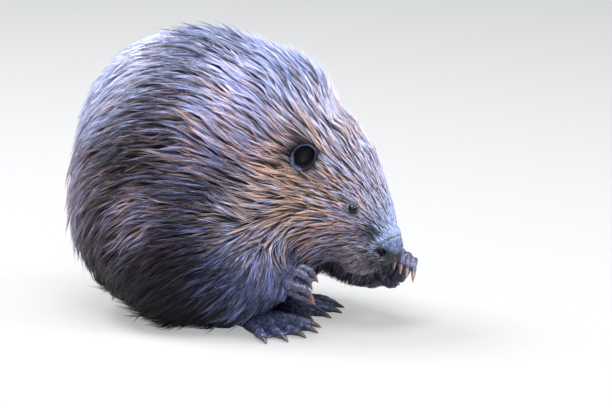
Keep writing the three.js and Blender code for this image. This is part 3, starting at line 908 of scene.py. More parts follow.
def tail_scales():
    """Low horny plates in staggered rows over the blade."""
    corners = 8
    turn = np.linspace(0, 2 * math.pi, corners, endpoint=False)
    outline = np.stack([np.cos(turn) * (1 + 0.12 * np.cos(turn)), np.sin(turn)], 1)
    rows = []
    for number, x in enumerate(np.arange(10, TAIL["long"] - 5, SCALE_LONG * 0.86)):
        half = float(tail_outline(np.array(x / TAIL["long"]))[0])
        for y in np.arange(-int(half / SCALE_WIDE) - 1, int(half / SCALE_WIDE) + 2) + 0.5 * (number % 2):
            if abs(y) * SCALE_WIDE < half * 0.985 - 1.5:
                rows.append((x, y * SCALE_WIDE / half))
    rows = np.array(rows)
    rows += scale_rng.normal(0, 1, rows.shape) * (0.35, 0.006)
    t, across = rows[:, 0] / TAIL["long"], np.clip(rows[:, 1], -0.97, 0.97)
    at = tail_top(t, across)
    ahead = unit(tail_top(t + 0.004, across) - at)
    inwards = np.where(across > 0, -1, 1)
    beside = unit(tail_top(t, across + 0.02 * inwards) - at) * inwards[:, None]
    up = unit(np.cross(ahead, beside))
    size = scale_rng.uniform(0.88, 1.04, len(rows))[:, None, None]
    rings = []
    for reach, high, lean in ((1.0, -0.5, 0), (0.93, 0.45, 0.25), (0.6, 0.9, 0.2)):
        x = outline[None, :, :1] * reach * SCALE_LONG * 0.56 * size
        y = outline[None, :, 1:] * reach * SCALE_WIDE * 0.54 * size
        z = SCALE_HIGH * (high + lean * outline[None, :, :1])
        rings.append(at[:, None] + ahead[:, None] * x + beside[:, None] * y + up[:, None] * z)
    top = at + up * SCALE_HIGH
    bottom = at - up * SCALE_HIGH * 0.5
    p = np.concatenate(rings + [bottom[:, None], top[:, None]], 1)
    f = rings_to_triangles(3, corners)
    shade = np.repeat(scale_rng.uniform(0, 1, len(rows)), p.shape[1])
    f = (f[None] + (np.arange(len(rows)) * p.shape[1])[:, None, None]).reshape(-1, 3)
    p, f = placed((p.reshape(-1, 3), f), TAIL["at"], math.radians(TAIL["turn"]))
    return p, outward(p, f), shade


def claw_shape(points, length, radius, drop):
    """A curved claw that carries on from a digit's last two points and bends down."""
    tip, before = (np.array(p[:3], float) for p in (points[-1], points[-2]))
    along = unit(tip - before)
    stations = []
    for t in np.linspace(0, 1, 7):
        at = tip + along * (-3 + (length + 3) * t) - np.array((0, 0, drop * t * t))
        stations.append((*at, radius * (1 - 0.76 * t**2.6)))
    p, f = sweep(stations, 16, 14, flat=0.86)
    return p, f, np.clip((p - tip) @ along / length, 0, 1)


# ---------------------------------------------------------------- materials


def fur_finish():
    """Wet hair: darker towards its root, as dark underfur and as painted shade deep in the coat, and each
    lighter or darker than the coat.
    """
    made = Finish("coat", Roughness=0.24, Specular_IOR_Level=0.36, IOR=1.6)
    along = made.attribute("along")
    tone = made.attribute("tone")
    colour = made.attribute("coat", out="Color")
    share = (along * 1.35).clamped() ** 1.5
    root = made.mix(0.93, colour, linear(18, 13, 16))
    blend = made.mix(share, root, colour)
    shade = made.node("ShaderNodeCombineColor", {}, tone, tone, tone)
    return made.connect(Base_Color=made.mix(1.0, blend, shade, blend="MULTIPLY"))


def skin_finish():
    """Dark under the coat, as dark underfur and as painted shade in the gaps between the hairs, and mottled,
    creased and wet where it is bare.
    """
    made = Finish("skin", Specular_IOR_Level=0.55)
    bare = made.attribute("bare")
    colour = made.attribute("coat", out="Color")
    under = made.mix(0.9, colour, linear(12, 9, 10))
    mottle = made.noise(170, 5)
    pebbles = made.node("ShaderNodeTexVoronoi", {}, Vector=made.objects_own(), Scale=620.0)
    creases = made.noise(420, 4)
    dapple = made.noise(340, 2)
    dark = made.mix(0.72, colour, linear(12, 12, 18))
    naked = made.mix((mottle * 2.4 - 0.7).clamped(), made.mix(0.5, colour, linear(14, 14, 20)), colour)
    naked = made.mix((dapple * 4.0 - 1.5).clamped(), dark, naked)
    base = made.mix((bare * 3).clamped(), under, naked)
    height = pebbles * 0.7 + creases * 0.8 + mottle
    rough = 0.8 - bare * 0.65 + mottle * 0.14
    return made.connect(Base_Color=base, Roughness=rough, Normal=made.bump(height, 0.0008, 0.55))


def eye_finish():
    """A nearly black wet eyeball."""
    made = Finish("eye", Roughness=0.15, IOR=1.38, Specular_IOR_Level=0.5)
    iris = made.noise(500, 3)
    return made.connect(Base_Color=made.mix(iris, linear(4, 4, 9), linear(10, 10, 20)))


def horn_finish(name, root, tip, worn):
    """Claw that is darker at its root, with fine grooves and paler worn streaks."""
    made = Finish(name, Roughness=0.3, Specular_IOR_Level=0.6)
    along = made.attribute("along")
    grain = made.noise(900, 3)
    streak = made.noise(260, 4)
    colour = made.mix(along, root, tip)
    colour = made.mix((streak * 1.6 - 0.5).clamped() * 0.6, colour, worn)
    return made.connect(Base_Color=colour, Normal=made.bump(grain + streak * 2, 0.0005, 0.4))


def scale_finish():
    """Black satin plates, a little paler where they are worn."""
    made = Finish("tail_scale", Specular_IOR_Level=0.55)
    tone = made.attribute("tone")
    wear = made.noise(300, 4)
    colour = made.mix((tone * 0.5 + wear * 0.6).clamped(), linear(30, 30, 38), linear(74, 76, 92))
    return made.connect(Base_Color=colour, Roughness=0.34 + wear * 0.2, Normal=made.bump(wear, 0.0006, 0.5))


def whisker_finish():
    """A dark bristle with a paler tip."""
    made = Finish("whisker", Roughness=0.35, Specular_IOR_Level=0.6)
    along = made.attribute("along")
    return made.connect(Base_Color=made.mix(along, linear(34, 28, 30), linear(120, 112, 118)))


horn_materials = {
    "fore": horn_finish("reddish_horn", linear(58, 38, 40), linear(142, 104, 98), linear(188, 152, 144)),
    "hind": horn_finish("dark_horn", linear(26, 22, 26), linear(78, 64, 64), linear(112, 98, 96)),
}
scale_material = scale_finish()
whisker_material = whisker_finish()
coat_material = fur_finish()
skin_material = skin_finish()
eye_material = eye_finish()


# ---------------------------------------------------------------- markings, painted sheen and painted shade

# Where each colour of the coat lies, seen from the side: forward, up, reach, and the colour. Besides the
# coat's own browns and greys, the pale lilac-blue colours of the back, neck and head are a painted sheen, and
# the darkening of the flank, haunch and belly is painted shade.
COAT_COLOURS_AND_PAINTED_LIGHT = [
    # the top of the back, a painted bluish sheen
    (-0.065, 0.285, 0.03, linear(222, 230, 246)),
    (0.00, 0.30, 0.05, linear(107, 114, 133)),  # back
    (-0.10, 0.26, 0.05, linear(202, 212, 236)),  # loins, with a painted bluish sheen
    (0.10, 0.26, 0.04, linear(116, 128, 155)),  # nape
    (-0.14, 0.16, 0.05, linear(156, 147, 158)),  # rump
    (-0.05, 0.17, 0.05, linear(33, 29, 36)),  # flank, its brown darkened by painted shade
    (-0.02, 0.22, 0.04, linear(73, 66, 75)),
    (0.055, 0.235, 0.03, linear(202, 208, 236)),  # side of the neck, with a painted bluish sheen
    (0.05, 0.20, 0.04, linear(149, 153, 184)),  # shoulder
    (0.07, 0.125, 0.025, linear(183, 194, 221)),  # throat
    (0.05, 0.13, 0.04, linear(53, 60, 95)),
    (-0.03, 0.08, 0.04, linear(33, 27, 37)),  # haunch, its brown darkened by painted shade
    (-0.037, 0.125, 0.026, linear(166, 160, 180)),
    (-0.100, 0.165, 0.020, linear(139, 131, 140)),
    (-0.07, 0.105, 0.03, linear(59, 50, 53)),  # thigh
    (0.00, 0.085, 0.03, linear(33, 25, 31)),
    (-0.12, 0.06, 0.05, linear(17, 8, 7)),
    (0.00, 0.02, 0.04, linear(10, 6, 7)),  # belly, near black with painted shade
    (0.08, 0.04, 0.03, linear(13, 9, 9)),
    (0.11, 0.14, 0.02, linear(240, 238, 252)),  # behind the cheek
    (0.14, 0.12, 0.03, linear(199, 204, 235)),  # cheek
    (0.16, 0.16, 0.025, linear(236, 234, 252)),  # forehead, with a painted highlight
    (0.13, 0.20, 0.025, linear(240, 238, 252)),  # crown, with a painted bluish sheen
    (0.18, 0.11, 0.02, linear(99, 94, 101)),
    (0.19, 0.13, 0.015, linear(230, 236, 252)),  # bridge of the nose, with a painted highlight
    (0.16, 0.08, 0.02, linear(125, 119, 124)),  # lips and chin
]
# Small patches on both sides of the head: forward, out and up in its frame, reach in millimetres,
# strength, colour.
HEAD_TOUCHES = [
    (76, 9, 8, 12, 0.9, linear(206, 224, 252)),  # the bridge, a painted highlight
    (36, 33, 5, 9, 0.88, linear(40, 36, 46)),  # round the eye
    (45, 30, 15, 4, 0.8, linear(200, 160, 130)),  # its front corner
    (38, 28, 27, 6, 0.5, linear(204, 200, 226)),  # the brow
    (72, 23, 3, 10, 0.97, linear(18, 16, 22)),  # in front of the eye
    (66, 27, -3, 7, 0.7, linear(24, 21, 28)),
    (86, 16, -21, 9, 0.95, linear(14, 12, 17)),  # painted shade under the nostril, here and in the next patch
    (94, 6, -20, 8, 0.95, linear(10, 9, 13)),
    (-44, 55, 6, 9, 0.5, linear(70, 62, 70)),  # behind the ear
    (-20, 55, -14, 12, 0.8, linear(248, 246, 252)),  # under the ear
    (4, 48, -10, 12, 0.8, linear(244, 246, 252)),  # in front of it
]
NEAR_FOREARM = (0.080, -0.176, 0.066)
# And on the limbs and the body: a place in the part's frame, reach in metres, strength, colour.
LIMB_TOUCHES = [
    ((0.045, -0.155, 0.035), 0.034, 0.92, linear(9, 7, 9)),  # the knee, in the arm's shade
    ((0.070, -0.152, 0.036), 0.026, 0.92, linear(9, 7, 9)),
    ((0.012, -0.150, 0.034), 0.030, 0.85, linear(9, 6, 8)),
    ((0.005, -0.150, 0.088), 0.030, 0.85, linear(28, 22, 24)),  # the haunch, darkened by painted shade
    ((-0.040, -0.130, 0.160), 0.028, 0.75, linear(28, 23, 28)),  # the flank, darkened by painted shade
    (NEAR_FOREARM, 0.024, 0.9, linear(112, 122, 156)),  # the near forearm
    ((0.124, -0.024, 0.053), 0.026, 0.8, linear(96, 94, 116)),  # the far forearm
]


def coat_colour(points):
    """The coat's colour at each point, with its painted sheen and painted shade, the same for the skin and
    for the hair on it.
    """
    total = np.zeros((len(points), 3))
    weight = np.full((len(points), 1), 1e-9)
    for x, z, reach, colour in COAT_COLOURS_AND_PAINTED_LIGHT:
        share = near(points[:, [0, 2]], (x, z), reach * 0.7)[:, None]
        total += share * np.array(colour)
        weight += share
    shade = total / weight
    local = in_head(points)
    for x, y, z, reach, strength, colour in HEAD_TOUCHES:
        share = sum(near(local, (x, y * side, z), reach) for side in (-1, 1))[:, None]
        share = np.minimum(share, 1) * strength
        shade = shade * (1 - share) + np.array(colour) * share
    for at, reach, strength, colour in LIMB_TOUCHES:
        share = near(points, at, reach)[:, None] * strength
        shade = shade * (1 - share) + np.array(colour) * share
    return shade


# ---------------------------------------------------------------- skin piece

# the nose's top: a painted bluish sheen over its dark wet skin
NOSE_TOP_SHEEN = linear(114, 130, 178)
# the nostrils' hollows, painted near-black as shade
NOSTRIL_SHADE = linear(6, 5, 8)
LID_SKIN = linear(78, 83, 122)
EAR_SKIN = linear(104, 112, 160)
PAW_SKIN = linear(102, 102, 132)
FOOT_SKIN = linear(92, 100, 134)
TAIL_SKIN = linear(40, 40, 48)


def bare_share(points):
    """Where the face has no hair: 1 on the nose and the lids, 0 in the coat."""
    pad = 1 - smooth_step(off_pad(points), 0.66, 1.24)
    lids = sum(near(points, EYES[side] + eye_axes[side][0] * 4 * MM, 4.2 * MM) for side in EYES)
    return np.clip(np.maximum(pad, lids * 1.2), 0, 1)


def face_skin(points, bare):
    """The coat's colour with the nose, the nostrils and the lids painted in."""
    local = in_head(points)
    shade = coat_colour(points)
    on_nose = np.where(local[:, 0] > 70, bare, 0)[:, None]
    # The nose is its dark skin, painted with a bluish sheen on top and with painted shade darkening its
    # underside.
    under = smooth_step(-local[:, 2], 0.5, 5.5)[:, None]
    nose = np.array(NOSE_TOP_SHEEN) * (1 - 0.95 * under)
    shade = shade * (1 - on_nose) + nose * on_nose
    on_lids = np.where(local[:, 0] < 70, bare, 0)[:, None]
    over_eye = smooth_step(local[:, 2] - EYE_UP / MM, 0.0, 4.0)[:, None]
    shade = shade * (1 - on_lids) + np.array(LID_SKIN) * (1 - 0.8 * over_eye) * on_lids
    # The nostrils are painted near-black, as shade in their hollows.
    for side in (-1, 1):
        hole = (local - np.array((84.5, 20 * side, -10.5))) / np.array((8.5, 7.0, 3.6))
        dark = np.clip(1.4 * np.exp(-(hole**2).sum(1)), 0, 1)[:, None]
        shade = shade * (1 - dark) + np.array(NOSTRIL_SHADE) * dark
    return shade


def thinned(points, faces, fine, ratio):
    """The mesh with fewer triangles, taken from where it needn't be fine."""
    piece = mesh_from("thinned", points, faces)
    group = piece.vertex_groups.new(name="thin")
    group.add(np.where(~fine)[0].tolist(), 1.0, "REPLACE")
    use_modifier(piece, "DECIMATE", ratio=ratio, vertex_group="thin", vertex_group_factor=1000)
    p, f, _ = arrays_of(piece.data)
    bpy.data.objects.remove(piece)
    return p, f


SKIN_KEPT = 0.28  # the share of its triangles that the skin under the coat keeps
bare = bare_share(points)
body = thinned(points, faces, (bare > 0.02) | face_detail(points), SKIN_KEPT)
body_bare = bare_share(body[0])
parts = [(*body, face_skin(body[0], body_bare), body_bare)]


def bare_part(shape, colour, shade=1.0, wet=1.0):
    """An unfurred part of the skin, with its colour and how wet it looks."""
    p, f = shape
    shade, wet = (np.broadcast_to(value, (len(p),)) for value in (shade, wet))
    parts.append((p, f, np.array(colour) * shade[:, None], wet))


for side in EYES:
    ear, ear_light_and_shade, wet = ear_shell(side)
    # The ear's colour is scaled by its painted light and shade.
    bare_part(ear, EAR_SKIN, ear_light_and_shade, wet)
for word in ("right", "left"):
    bare_part(forepaw(word), PAW_SKIN)
    bare_part(hind_foot(word), FOOT_SKIN)
bare_part(tail_blade(), TAIL_SKIN)
skin_points, skin_faces = joined([(p, f) for p, f, _, _ in parts])
skin = mesh_object("skin", skin_points, skin_faces, skin_material, "fur")
set_attribute(skin.data, "coat", np.vstack([colour for _, _, colour, _ in parts]))
set_attribute(skin.data, "bare", np.concatenate([share for _, _, _, share in parts]))
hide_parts(*FLESH)
bpy.data.objects.remove(flesh)

scale_points, scale_faces, scale_tone = tail_scales()
scales = mesh_object("tail_scales", scale_points, scale_faces, scale_material, "tail_scales")
set_attribute(scales.data, "tone", scale_tone)


# ---------------------------------------------------------------- claws


def claw_piece(kind, word, number, shape, along):
    """A finished claw in its CAD node's place."""
    piece = mesh_object(f"horn_{kind}_{word}_{number}", *shape, horn_materials[kind], "claw")
    set_attribute(piece.data, "along", along)
    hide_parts(f"claw_{kind}_{word}_{number}")


# Length, radius and drop of each kind of claw, in millimetres.
FORE_CLAW, THUMB_CLAW, HIND_CLAW = (9.6, 2.6, 3.4), (6.4, 2.0, 2.7), (12, 3.5, 2.2)
for word in ("right", "left"):
    for number, points_of in enumerate(DIGITS[word]):
        p, f, along = claw_shape(points_of, *(THUMB_CLAW if number == THUMB else FORE_CLAW))
        p, f = placed((p, f))
        claw_piece("fore", word, number + 1, (p, outward(p, f)), along)
    at, heading, side = FEET[word]
    for number in range(len(TOE_SPREAD)):
        p, f, along = claw_shape(toe_line(number, side), *HIND_CLAW)
        p, f = placed((p, f), at, math.radians(heading))
        p[:, 2] = np.maximum(p[:, 2], 0.0002)
        claw_piece("hind", word, number + 1, (p, outward(p, f)), along)


# ---------------------------------------------------------------- eyes

for side, word in ((-1, "right"), (1, "left")):
    out, long_way, high_way = eye_axes[side]
    bpy.ops.object.select_all(action="DESELECT")
    bpy.ops.mesh.primitive_uv_sphere_add(segments=48, ring_count=32, radius=EYE_RADIUS, location=(0, 0, 0))
    ball = bpy.context.object
    ball.name = f"eyeball_{word}"
    p, _, _ = arrays_of(ball.data)
    swell = smooth_step(p[:, 2] / EYE_RADIUS, 0.78, 1.0)  # the clear front of the eye
    p = p * (1 + 0.05 * swell)[:, None]
    p = EYES[side] + p[:, :1] * long_way + p[:, 1:2] * np.cross(out, long_way) + p[:, 2:] * out
    ball.data.vertices.foreach_set("co", p.astype(np.float32).ravel())
    ball.data.polygons.foreach_set("use_smooth", np.ones(len(ball.data.polygons), bool))
    ball.data.materials.append(eye_material)
    ball.data.update()
    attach(ball, "root")
    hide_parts(f"eye_{word}")


# ---------------------------------------------------------------- whiskers

skin_tree = BVHTree.FromPolygons(points.tolist(), faces.tolist())


def whiskers():
    """Tapered bristles on the upper lip, drooping outwards and back."""
    shapes, along = [], []
    for side in (-1, 1):
        rows = [
            (65.5 + 6.5 * k + 1.5 * r, (19 - 1.2 * k) * side, -14 - 5.0 * r - 0.8 * k)
            for r in range(4)
            for k in range(4)
        ]
        for at in rows:
            found = skin_tree.find_nearest(from_head(np.array(at) + whisker_rng.normal(0, 0.9, 3)))
            root, out = np.array(found[0]), np.array(found[1])
            long = whisker_rng.uniform(15, 27) * MM
            way = out * 0.7 + LEFT * side * 0.25 - FORWARD * 0.35 + np.array((0, 0, -0.35))
            way = unit(way + whisker_rng.normal(0, 0.1, 3))
            stations = []
            for t in np.linspace(-0.04, 1, 6):
                p = root + way * long * t + np.array((0, 0, -0.45)) * long * max(t, 0) ** 2
                stations.append((*(p / MM), 0.26 * (1 - 0.85 * max(t, 0))))
            p, f = sweep(stations, 9, 5)
            shapes.append((p * MM, outward(p, f)))
            along.append(np.clip(np.linalg.norm(p * MM - root, axis=1) / long, 0, 1))
    p, f = joined(shapes)
    p[:, 2] = np.maximum(p[:, 2], 0.001)
    piece = mesh_object("whiskers", p, f, whisker_material, "fur")
    set_attribute(piece.data, "along", np.concatenate(along))


whiskers()


# ---------------------------------------------------------------- the lay of the coat

# Which way the hair points, seen from the side: place forward and up in metres, and the rise in
# degrees of a hair that points backwards, so that 0 lies level and 90 stands up.
LAY = [
    (0.10, 0.25, 67),  # nape
    (0.13, 0.23, 65),
    (0.045, 0.28, 44),  # withers
    (0.00, 0.295, 32),  # back
    (-0.035, 0.287, 0),
    (-0.08, 0.28, -23),
    (-0.13, 0.24, -42),
    (0.027, 0.255, 34),  # shoulder
    (-0.02, 0.245, 6),
    (-0.085, 0.23, -19),
    (0.023, 0.22, 31),
    (0.078, 0.22, 38),
    (0.087, 0.185, 15),  # behind the ear
    (-0.036, 0.207, -5),
    (-0.104, 0.18, -18),
    (-0.15, 0.18, -55),
    (0.132, 0.214, 62),  # crown
    (0.137, 0.188, 60),
    (0.153, 0.19, 56),
    (0.171, 0.16, 60),  # forehead
    (0.19, 0.13, 58),
    (0.097, 0.127, -4),  # behind the cheek
    (0.096, 0.097, -29),
    (0.113, 0.145, 6),
    (0.139, 0.145, 17),  # cheek
    (0.118, 0.165, 30),  # between the ear and the eye
    (0.138, 0.168, 38),
    (0.155, 0.152, 38),
    (0.139, 0.115, -3),
    (0.159, 0.105, -8),
    (0.173, 0.126, 34),  # in front of the eye
    (0.190, 0.112, 50),
    (0.17, 0.075, -20),  # lips and chin
    (0.14, 0.075, -30),
    (0.046, 0.148, 24),  # upper arm
    (-0.009, 0.148, 3),  # flank
    (-0.073, 0.143, -17),
    (-0.11, 0.118, -36),  # rump
    (-0.082, 0.094, -42),
    (-0.15, 0.10, -75),
    (-0.038, 0.078, -34),  # haunch
    (0.012, 0.102, -10),
    (0.041, 0.083, -16),
    (0.00, 0.05, -32),
    (-0.08, 0.04, -50),
    (0.072, 0.085, -60),  # forearm
    (0.091, 0.069, -76),
    (0.04, 0.03, -40),  # knee and belly
]
LAY_REACH = 0.017
LAY_AT = np.array([(x, z) for x, z, _ in LAY])
LAY_RISE = np.radians([rise for _, _, rise in LAY])
TAIL_START, TAIL_END = middle("tail_root"), middle("tail_blade")


def lay_at(points, normals):
    """The unit direction along the skin in which the hair points at each place."""
    side_on = points[:, [0, 2]]
    far = ((side_on[:, None] - LAY_AT) ** 2).sum(2)
    share = np.exp(-far / (2 * LAY_REACH**2)) + 1e-5 / (1 + far / LAY_REACH**2)
    direction = np.stack([-(share @ np.cos(LAY_RISE)), np.zeros(len(points)), share @ np.sin(LAY_RISE)], 1)
    direction = unit(direction)
    # The hair parts a little from the middle line.
    direction[:, 1] += 0.22 * np.tanh((points[:, 1] - MIDLINE) / 0.04)
    # On the root of the tail it follows the tail.
    on_tail = near(points, TAIL_START, 0.035)[:, None]
    direction = direction * (1 - on_tail) + unit(TAIL_END - TAIL_START) * on_tail
    # Under the belly it points straight back.
    below = smooth_step(-normals[:, 2], 0.6, 0.95)[:, None]
    direction = direction * (1 - below) + np.array([-1, 0, 0.1]) * below
    return unit(direction - normals * (direction * normals).sum(1, keepdims=True))


def turned(direction, normals, angle):
    """A direction turned about the normal, in radians."""
    c, s = np.cos(angle)[:, None], np.sin(angle)[:, None]
    return direction * c + np.cross(normals, direction) * s


face_normals = unit(sum(normals[faces[:, i]] for i in range(3)))


def onto_skin(places):
    """The nearest points of the skin, and its normals there."""
    found = [skin_tree.find_nearest(p) for p in places.tolist()]
    return np.array([f[0] for f in found]), face_normals[[f[2] for f in found]]


# Where the hair lifts away from the body: forward, up, reach, and its slope.
STANDING = [
    (0.125, 0.25, 0.035, 0.12),  # nape
    (0.06, 0.285, 0.035, 0.07),  # withers
    (0.0, 0.30, 0.03, 0.05),  # back
    (-0.07, 0.29, 0.03, 0.03),
    (-0.13, 0.25, 0.04, 0.03),  # loins
    (-0.15, 0.10, 0.05, 0.10),  # rump
    (-0.02, 0.04, 0.04, 0.12),  # belly
]


def combed(roots, root_normals, length, height, veer, rise, steps):
    """The paths of hairs that start at the roots and follow the skin at a height. (hairs, steps + 1, 3)."""
    place, normal = roots.copy(), root_normals.copy()
    stand = rise * sum(s * near(roots[:, [0, 2]], (x, z), reach) for x, z, reach, s in STANDING)
    path, over = [place - normal * 0.5 * MM], [normal]
    for step in range(1, steps + 1):
        t = step / steps
        place = place + turned(lay_at(place, normal), normal, veer) * (length / steps)[:, None]
        place, normal = onto_skin(place)
        lifted = height * (1 - (1 - t) ** 2.2) + stand * length * t**2
        path.append(place + normal * lifted[:, None])
        over.append(normal)
    return np.stack(path, 1), np.stack(over, 1)


# ---------------------------------------------------------------- the coat

HAIR_STEPS = 4
face_area = np.linalg.norm(long_normals(points, faces), axis=1) / 2
corner_depth = coat_depth(points, node_under(points), SHORTEST_HAIR)
corner_depth = fade_round_eyes(corner_depth, points, 0.35, 5, 24)
corner_depth = relaxed(corner_depth, edges, 25)
grows = (1 - smooth_step(relaxed(bare, edges, 3), 0.25, 0.6)) * smooth_step(points[:, 2], 0.0, 0.003)
grows = fade_round_eyes(grows, points, 0, 6.9, 7.8)


def hair_size(depth):
    """Length and width of a hair where the coat is so many millimetres thick."""
    return (4.5 + 3.0 * depth) * MM, (0.27 + 0.027 * depth) * MM


LAYERS = 5.4  # how many hairs lie over each other
THINNER_ON_HEAD = 0.22  # the share of them that the head goes without
BELLY_SHARE = 0.35  # the share of them that grows where the skin faces the floor
face_depth = corner_depth[faces].mean(1)
long, wide = hair_size(face_depth)
per_face = face_area * LAYERS / (long * wide) * grows[faces].mean(1)
per_face *= 1 - THINNER_ON_HEAD * share_of_head(points[faces].mean(1))
per_face[normals[faces].mean(1)[:, 2] < -0.8] *= BELLY_SHARE
total = np.cumsum(per_face)
count = int(total[-1])
picked = np.searchsorted(total, (np.arange(count) + rng.random(count)) * total[-1] / count)
picked = np.minimum(picked, len(faces) - 1)
spread = rng.random((count, 2))
flip = spread.sum(1) > 1
spread[flip] = 1 - spread[flip]
weights = np.stack([1 - spread.sum(1), spread[:, 0], spread[:, 1]], 1)
corners = faces[picked]
roots = (points[corners] * weights[:, :, None]).sum(1)
root_normals = unit((normals[corners] * weights[:, :, None]).sum(1))
root_depth = (corner_depth[corners] * weights).sum(1)

# Every so many hairs one leads a lock, and the hairs beside it and behind it bend towards it.
LOCK_HAIRS = 6
LOCK_STRETCH = 4.5  # how much longer than wide the patch is that a lock's hairs grow on
root_lay = lay_at(roots, root_normals)
leads = rng.permutation(count)[: count // LOCK_HAIRS]
tree = KDTree(len(leads))
for number, lead in enumerate(leads):
    tree.insert(roots[lead], number)
tree.balance()
nearest = np.array([[found[1] for found in tree.find_n(p, 8)] for p in roots.tolist()])
apart = roots[:, None] - roots[leads[nearest]]
ahead = (apart * root_lay[leads[nearest]]).sum(2)
beside = np.maximum((apart**2).sum(2) - ahead**2, 0)
best = (beside + (ahead / LOCK_STRETCH) ** 2).argmin(1)
rows = np.arange(count)
lock, ahead = nearest[rows, best], ahead[rows, best]
length, width = hair_size(root_depth)
lock_length = rng.uniform(0.8, 1.15, len(leads))
lock_height = rng.uniform(0.45, 1.0, len(leads))
lock_veer = rng.normal(0, 0.14, len(leads))
lock_rise = rng.uniform(0.0, 1.0, len(leads)) ** 2 * 3  # most locks lie flat, and a few stand well out
length *= lock_length[lock] * rng.uniform(0.8, 1.1, count)
height = root_depth * MM * lock_height[lock] * rng.uniform(0.75, 1.0, count)
veer = lock_veer[lock] + rng.normal(0, 0.07, count)
path, over = combed(roots, root_normals, length, height, veer, lock_rise[lock], HAIR_STEPS)

GRIP = np.array([0.0, 0.3, 0.62, 0.82, 0.9])  # how far a hair has come to its leading hair at each step
STRAYS = 0.08  # the share of hairs that keep away from it
stray = rng.random(count) < STRAYS
grip = GRIP[None] * np.where(stray, 0.3, rng.uniform(0.75, 1.0, count))[:, None]
# Where along the leading hair each step of this one lies beside it.
reach = np.linspace(0, 1, HAIR_STEPS + 1)[None] * length[:, None] + 0.75 * ahead[:, None]
reach = np.clip(reach / length[leads][lock][:, None], 0, 1.25) * HAIR_STEPS
low = np.minimum(reach.astype(int), HAIR_STEPS - 1)
part = (reach - low)[:, :, None]
lead_path = path[leads][lock]
target = lead_path[rows[:, None], low] * (1 - part) + lead_path[rows[:, None], low + 1] * part
path = path * (1 - grip[:, :, None]) + target * grip[:, :, None]


# Half the width, height and depth of the openings in the coat.
LIDS_PARTED = (7.7 * MM, 7.0 * MM, 14 * MM)
EAR_PARTED = (11.8 * MM, 16.6 * MM, 20 * MM)
# The shares of an opening's size inside which no hair lies: anywhere, where none may lean over its
# edge, and at the root.
CLEAR_ALWAYS, CLEAR_OF_LEANING, CLEAR_OF_ROOTS = 0.68, 0.74, 0.85


def parted(path, centre, axis, across, tall, wide, high, deep, over_front=0.0):
    """Hairs bent sideways round an opening, and a mask of those that would lie over its middle.

    Hairs at its front may be let lean over its edge.
    """
    away = path - centre
    out = away @ axis
    x, y = away @ across, away @ tall
    inside = np.sqrt((x / wide) ** 2 + (y / high) ** 2)
    within = inside < CLEAR_ALWAYS
    inside = inside * (1 + over_front * smooth_step(-0.75 * x / wide - 0.66 * y / high, 0.1, 0.7))
    level = (out > -deep) & (out < deep)
    push = np.where(level & (inside < 1), 1 / np.maximum(inside, 0.3) - 1, 0)
    push[:, 0] = 0
    moved = path + (x * push)[..., None] * across + (y * push)[..., None] * tall
    over_middle = ((within | (inside < CLEAR_OF_LEANING)) & level).any(1)
    return moved, over_middle | ((inside[:, 0] < CLEAR_OF_ROOTS) & level[:, 0])


FLOOR_GAP, CORNER_GAP = 0.7 * MM, 0.3 * MM  # how far a hair and its corners stay above the floor
# Hair that hangs: a place in the part's frame, its reach, and how far the tips drop, in metres.
HANGING = [
    ((0.085, -0.170, 0.060), 0.022, 0.012),
    ((0.120, -0.030, 0.050), 0.026, 0.014),
    (from_head((81, -15, -36)), 0.010, 0.006),
    (from_head((81, 15, -36)), 0.010, 0.006),
    ((0.02, -0.150, 0.045), 0.030, 0.006),
]
for at, reach_of, drop in HANGING:
    weight = near(roots, at, reach_of)[:, None] * np.linspace(0, 1, HAIR_STEPS + 1)[None] ** 1.6
    path[:, :, 2] -= weight * drop
EAR_COVER = 6.5 * MM  # how far the hair in front of the ear lifts over its rim
hidden = np.zeros(count, bool)
for side in EYES:
    out, long_way, high_way = eye_axes[side]
    path, lost = parted(path, EYES[side], out, long_way, high_way, *LIDS_PARTED)
    hidden |= lost
    centre, mouth, across, tall = ear_frame(side)
    x, y = (path - centre) @ across / MM / EAR_WIDE, (path - centre) @ tall / MM / EAR_TALL
    before = smooth_step(-0.75 * x - 0.66 * y, 0.25, 0.8) * (1 - smooth_step(np.hypot(x, y), 1.1, 1.7))
    before[:, 0] = 0
    path, lost = parted(path, centre + mouth * 8 * MM, mouth, across, tall, *EAR_PARTED, over_front=0.9)
    out, off = from_ear(roots, side)
    lost |= (off < 0.97) & (np.abs(out) < EAR_REACH)
    path += mouth * (before * EAR_COVER)[..., None]
    hidden |= lost

path[:, :, 2] = np.maximum(path[:, :, 2], FLOOR_GAP)

lock_tone = np.exp(rng.normal(0, 0.30, len(leads)))
tone = lock_tone[lock] * np.exp(rng.normal(0, 0.34, count))
# The coat of the head and dark coat anywhere get more uneven tones than the pale coat of the back, so that
# their lighter hairs stand out as painted glints.
ground = coat_colour(roots)
of_head = share_of_head(roots)
uneven = 1 + 0.8 * (1 - smooth_step(ground.mean(1), 0.02, 0.22)) + 1.15 * of_head
uneven -= 0.75 * smooth_step(ground.mean(1), 0.2, 0.5) * (1 - of_head)
uneven += 1.0 * near(roots, NEAR_FOREARM, 0.025)
uneven += 0.5 * of_head * (1 - smooth_step(root_depth, 2, 5))
tone = np.clip(tone**uneven, 0.12, 3.4) * (1 + 0.16 * of_head)

# The share of tawny locks among the grey ones: forward, up, reach, share.
TAWNY = [
    (0.14, 0.11, 0.03, 0.42),  # cheek
    (0.10, 0.13, 0.03, 0.28),  # behind it
    (0.06, 0.13, 0.03, 0.28),  # upper arm
    (0.12, 0.17, 0.025, 0.14),  # between the ear and the eye
    (0.10, 0.19, 0.03, 0.25),  # behind the ear
    (0.15, 0.18, 0.02, 0.1),  # crown
    (0.02, 0.20, 0.04, 0.3),  # shoulder
    (-0.03, 0.14, 0.04, 0.2),  # flank
    (0.19, 0.13, 0.02, -0.12),  # none on the bridge of the nose
]
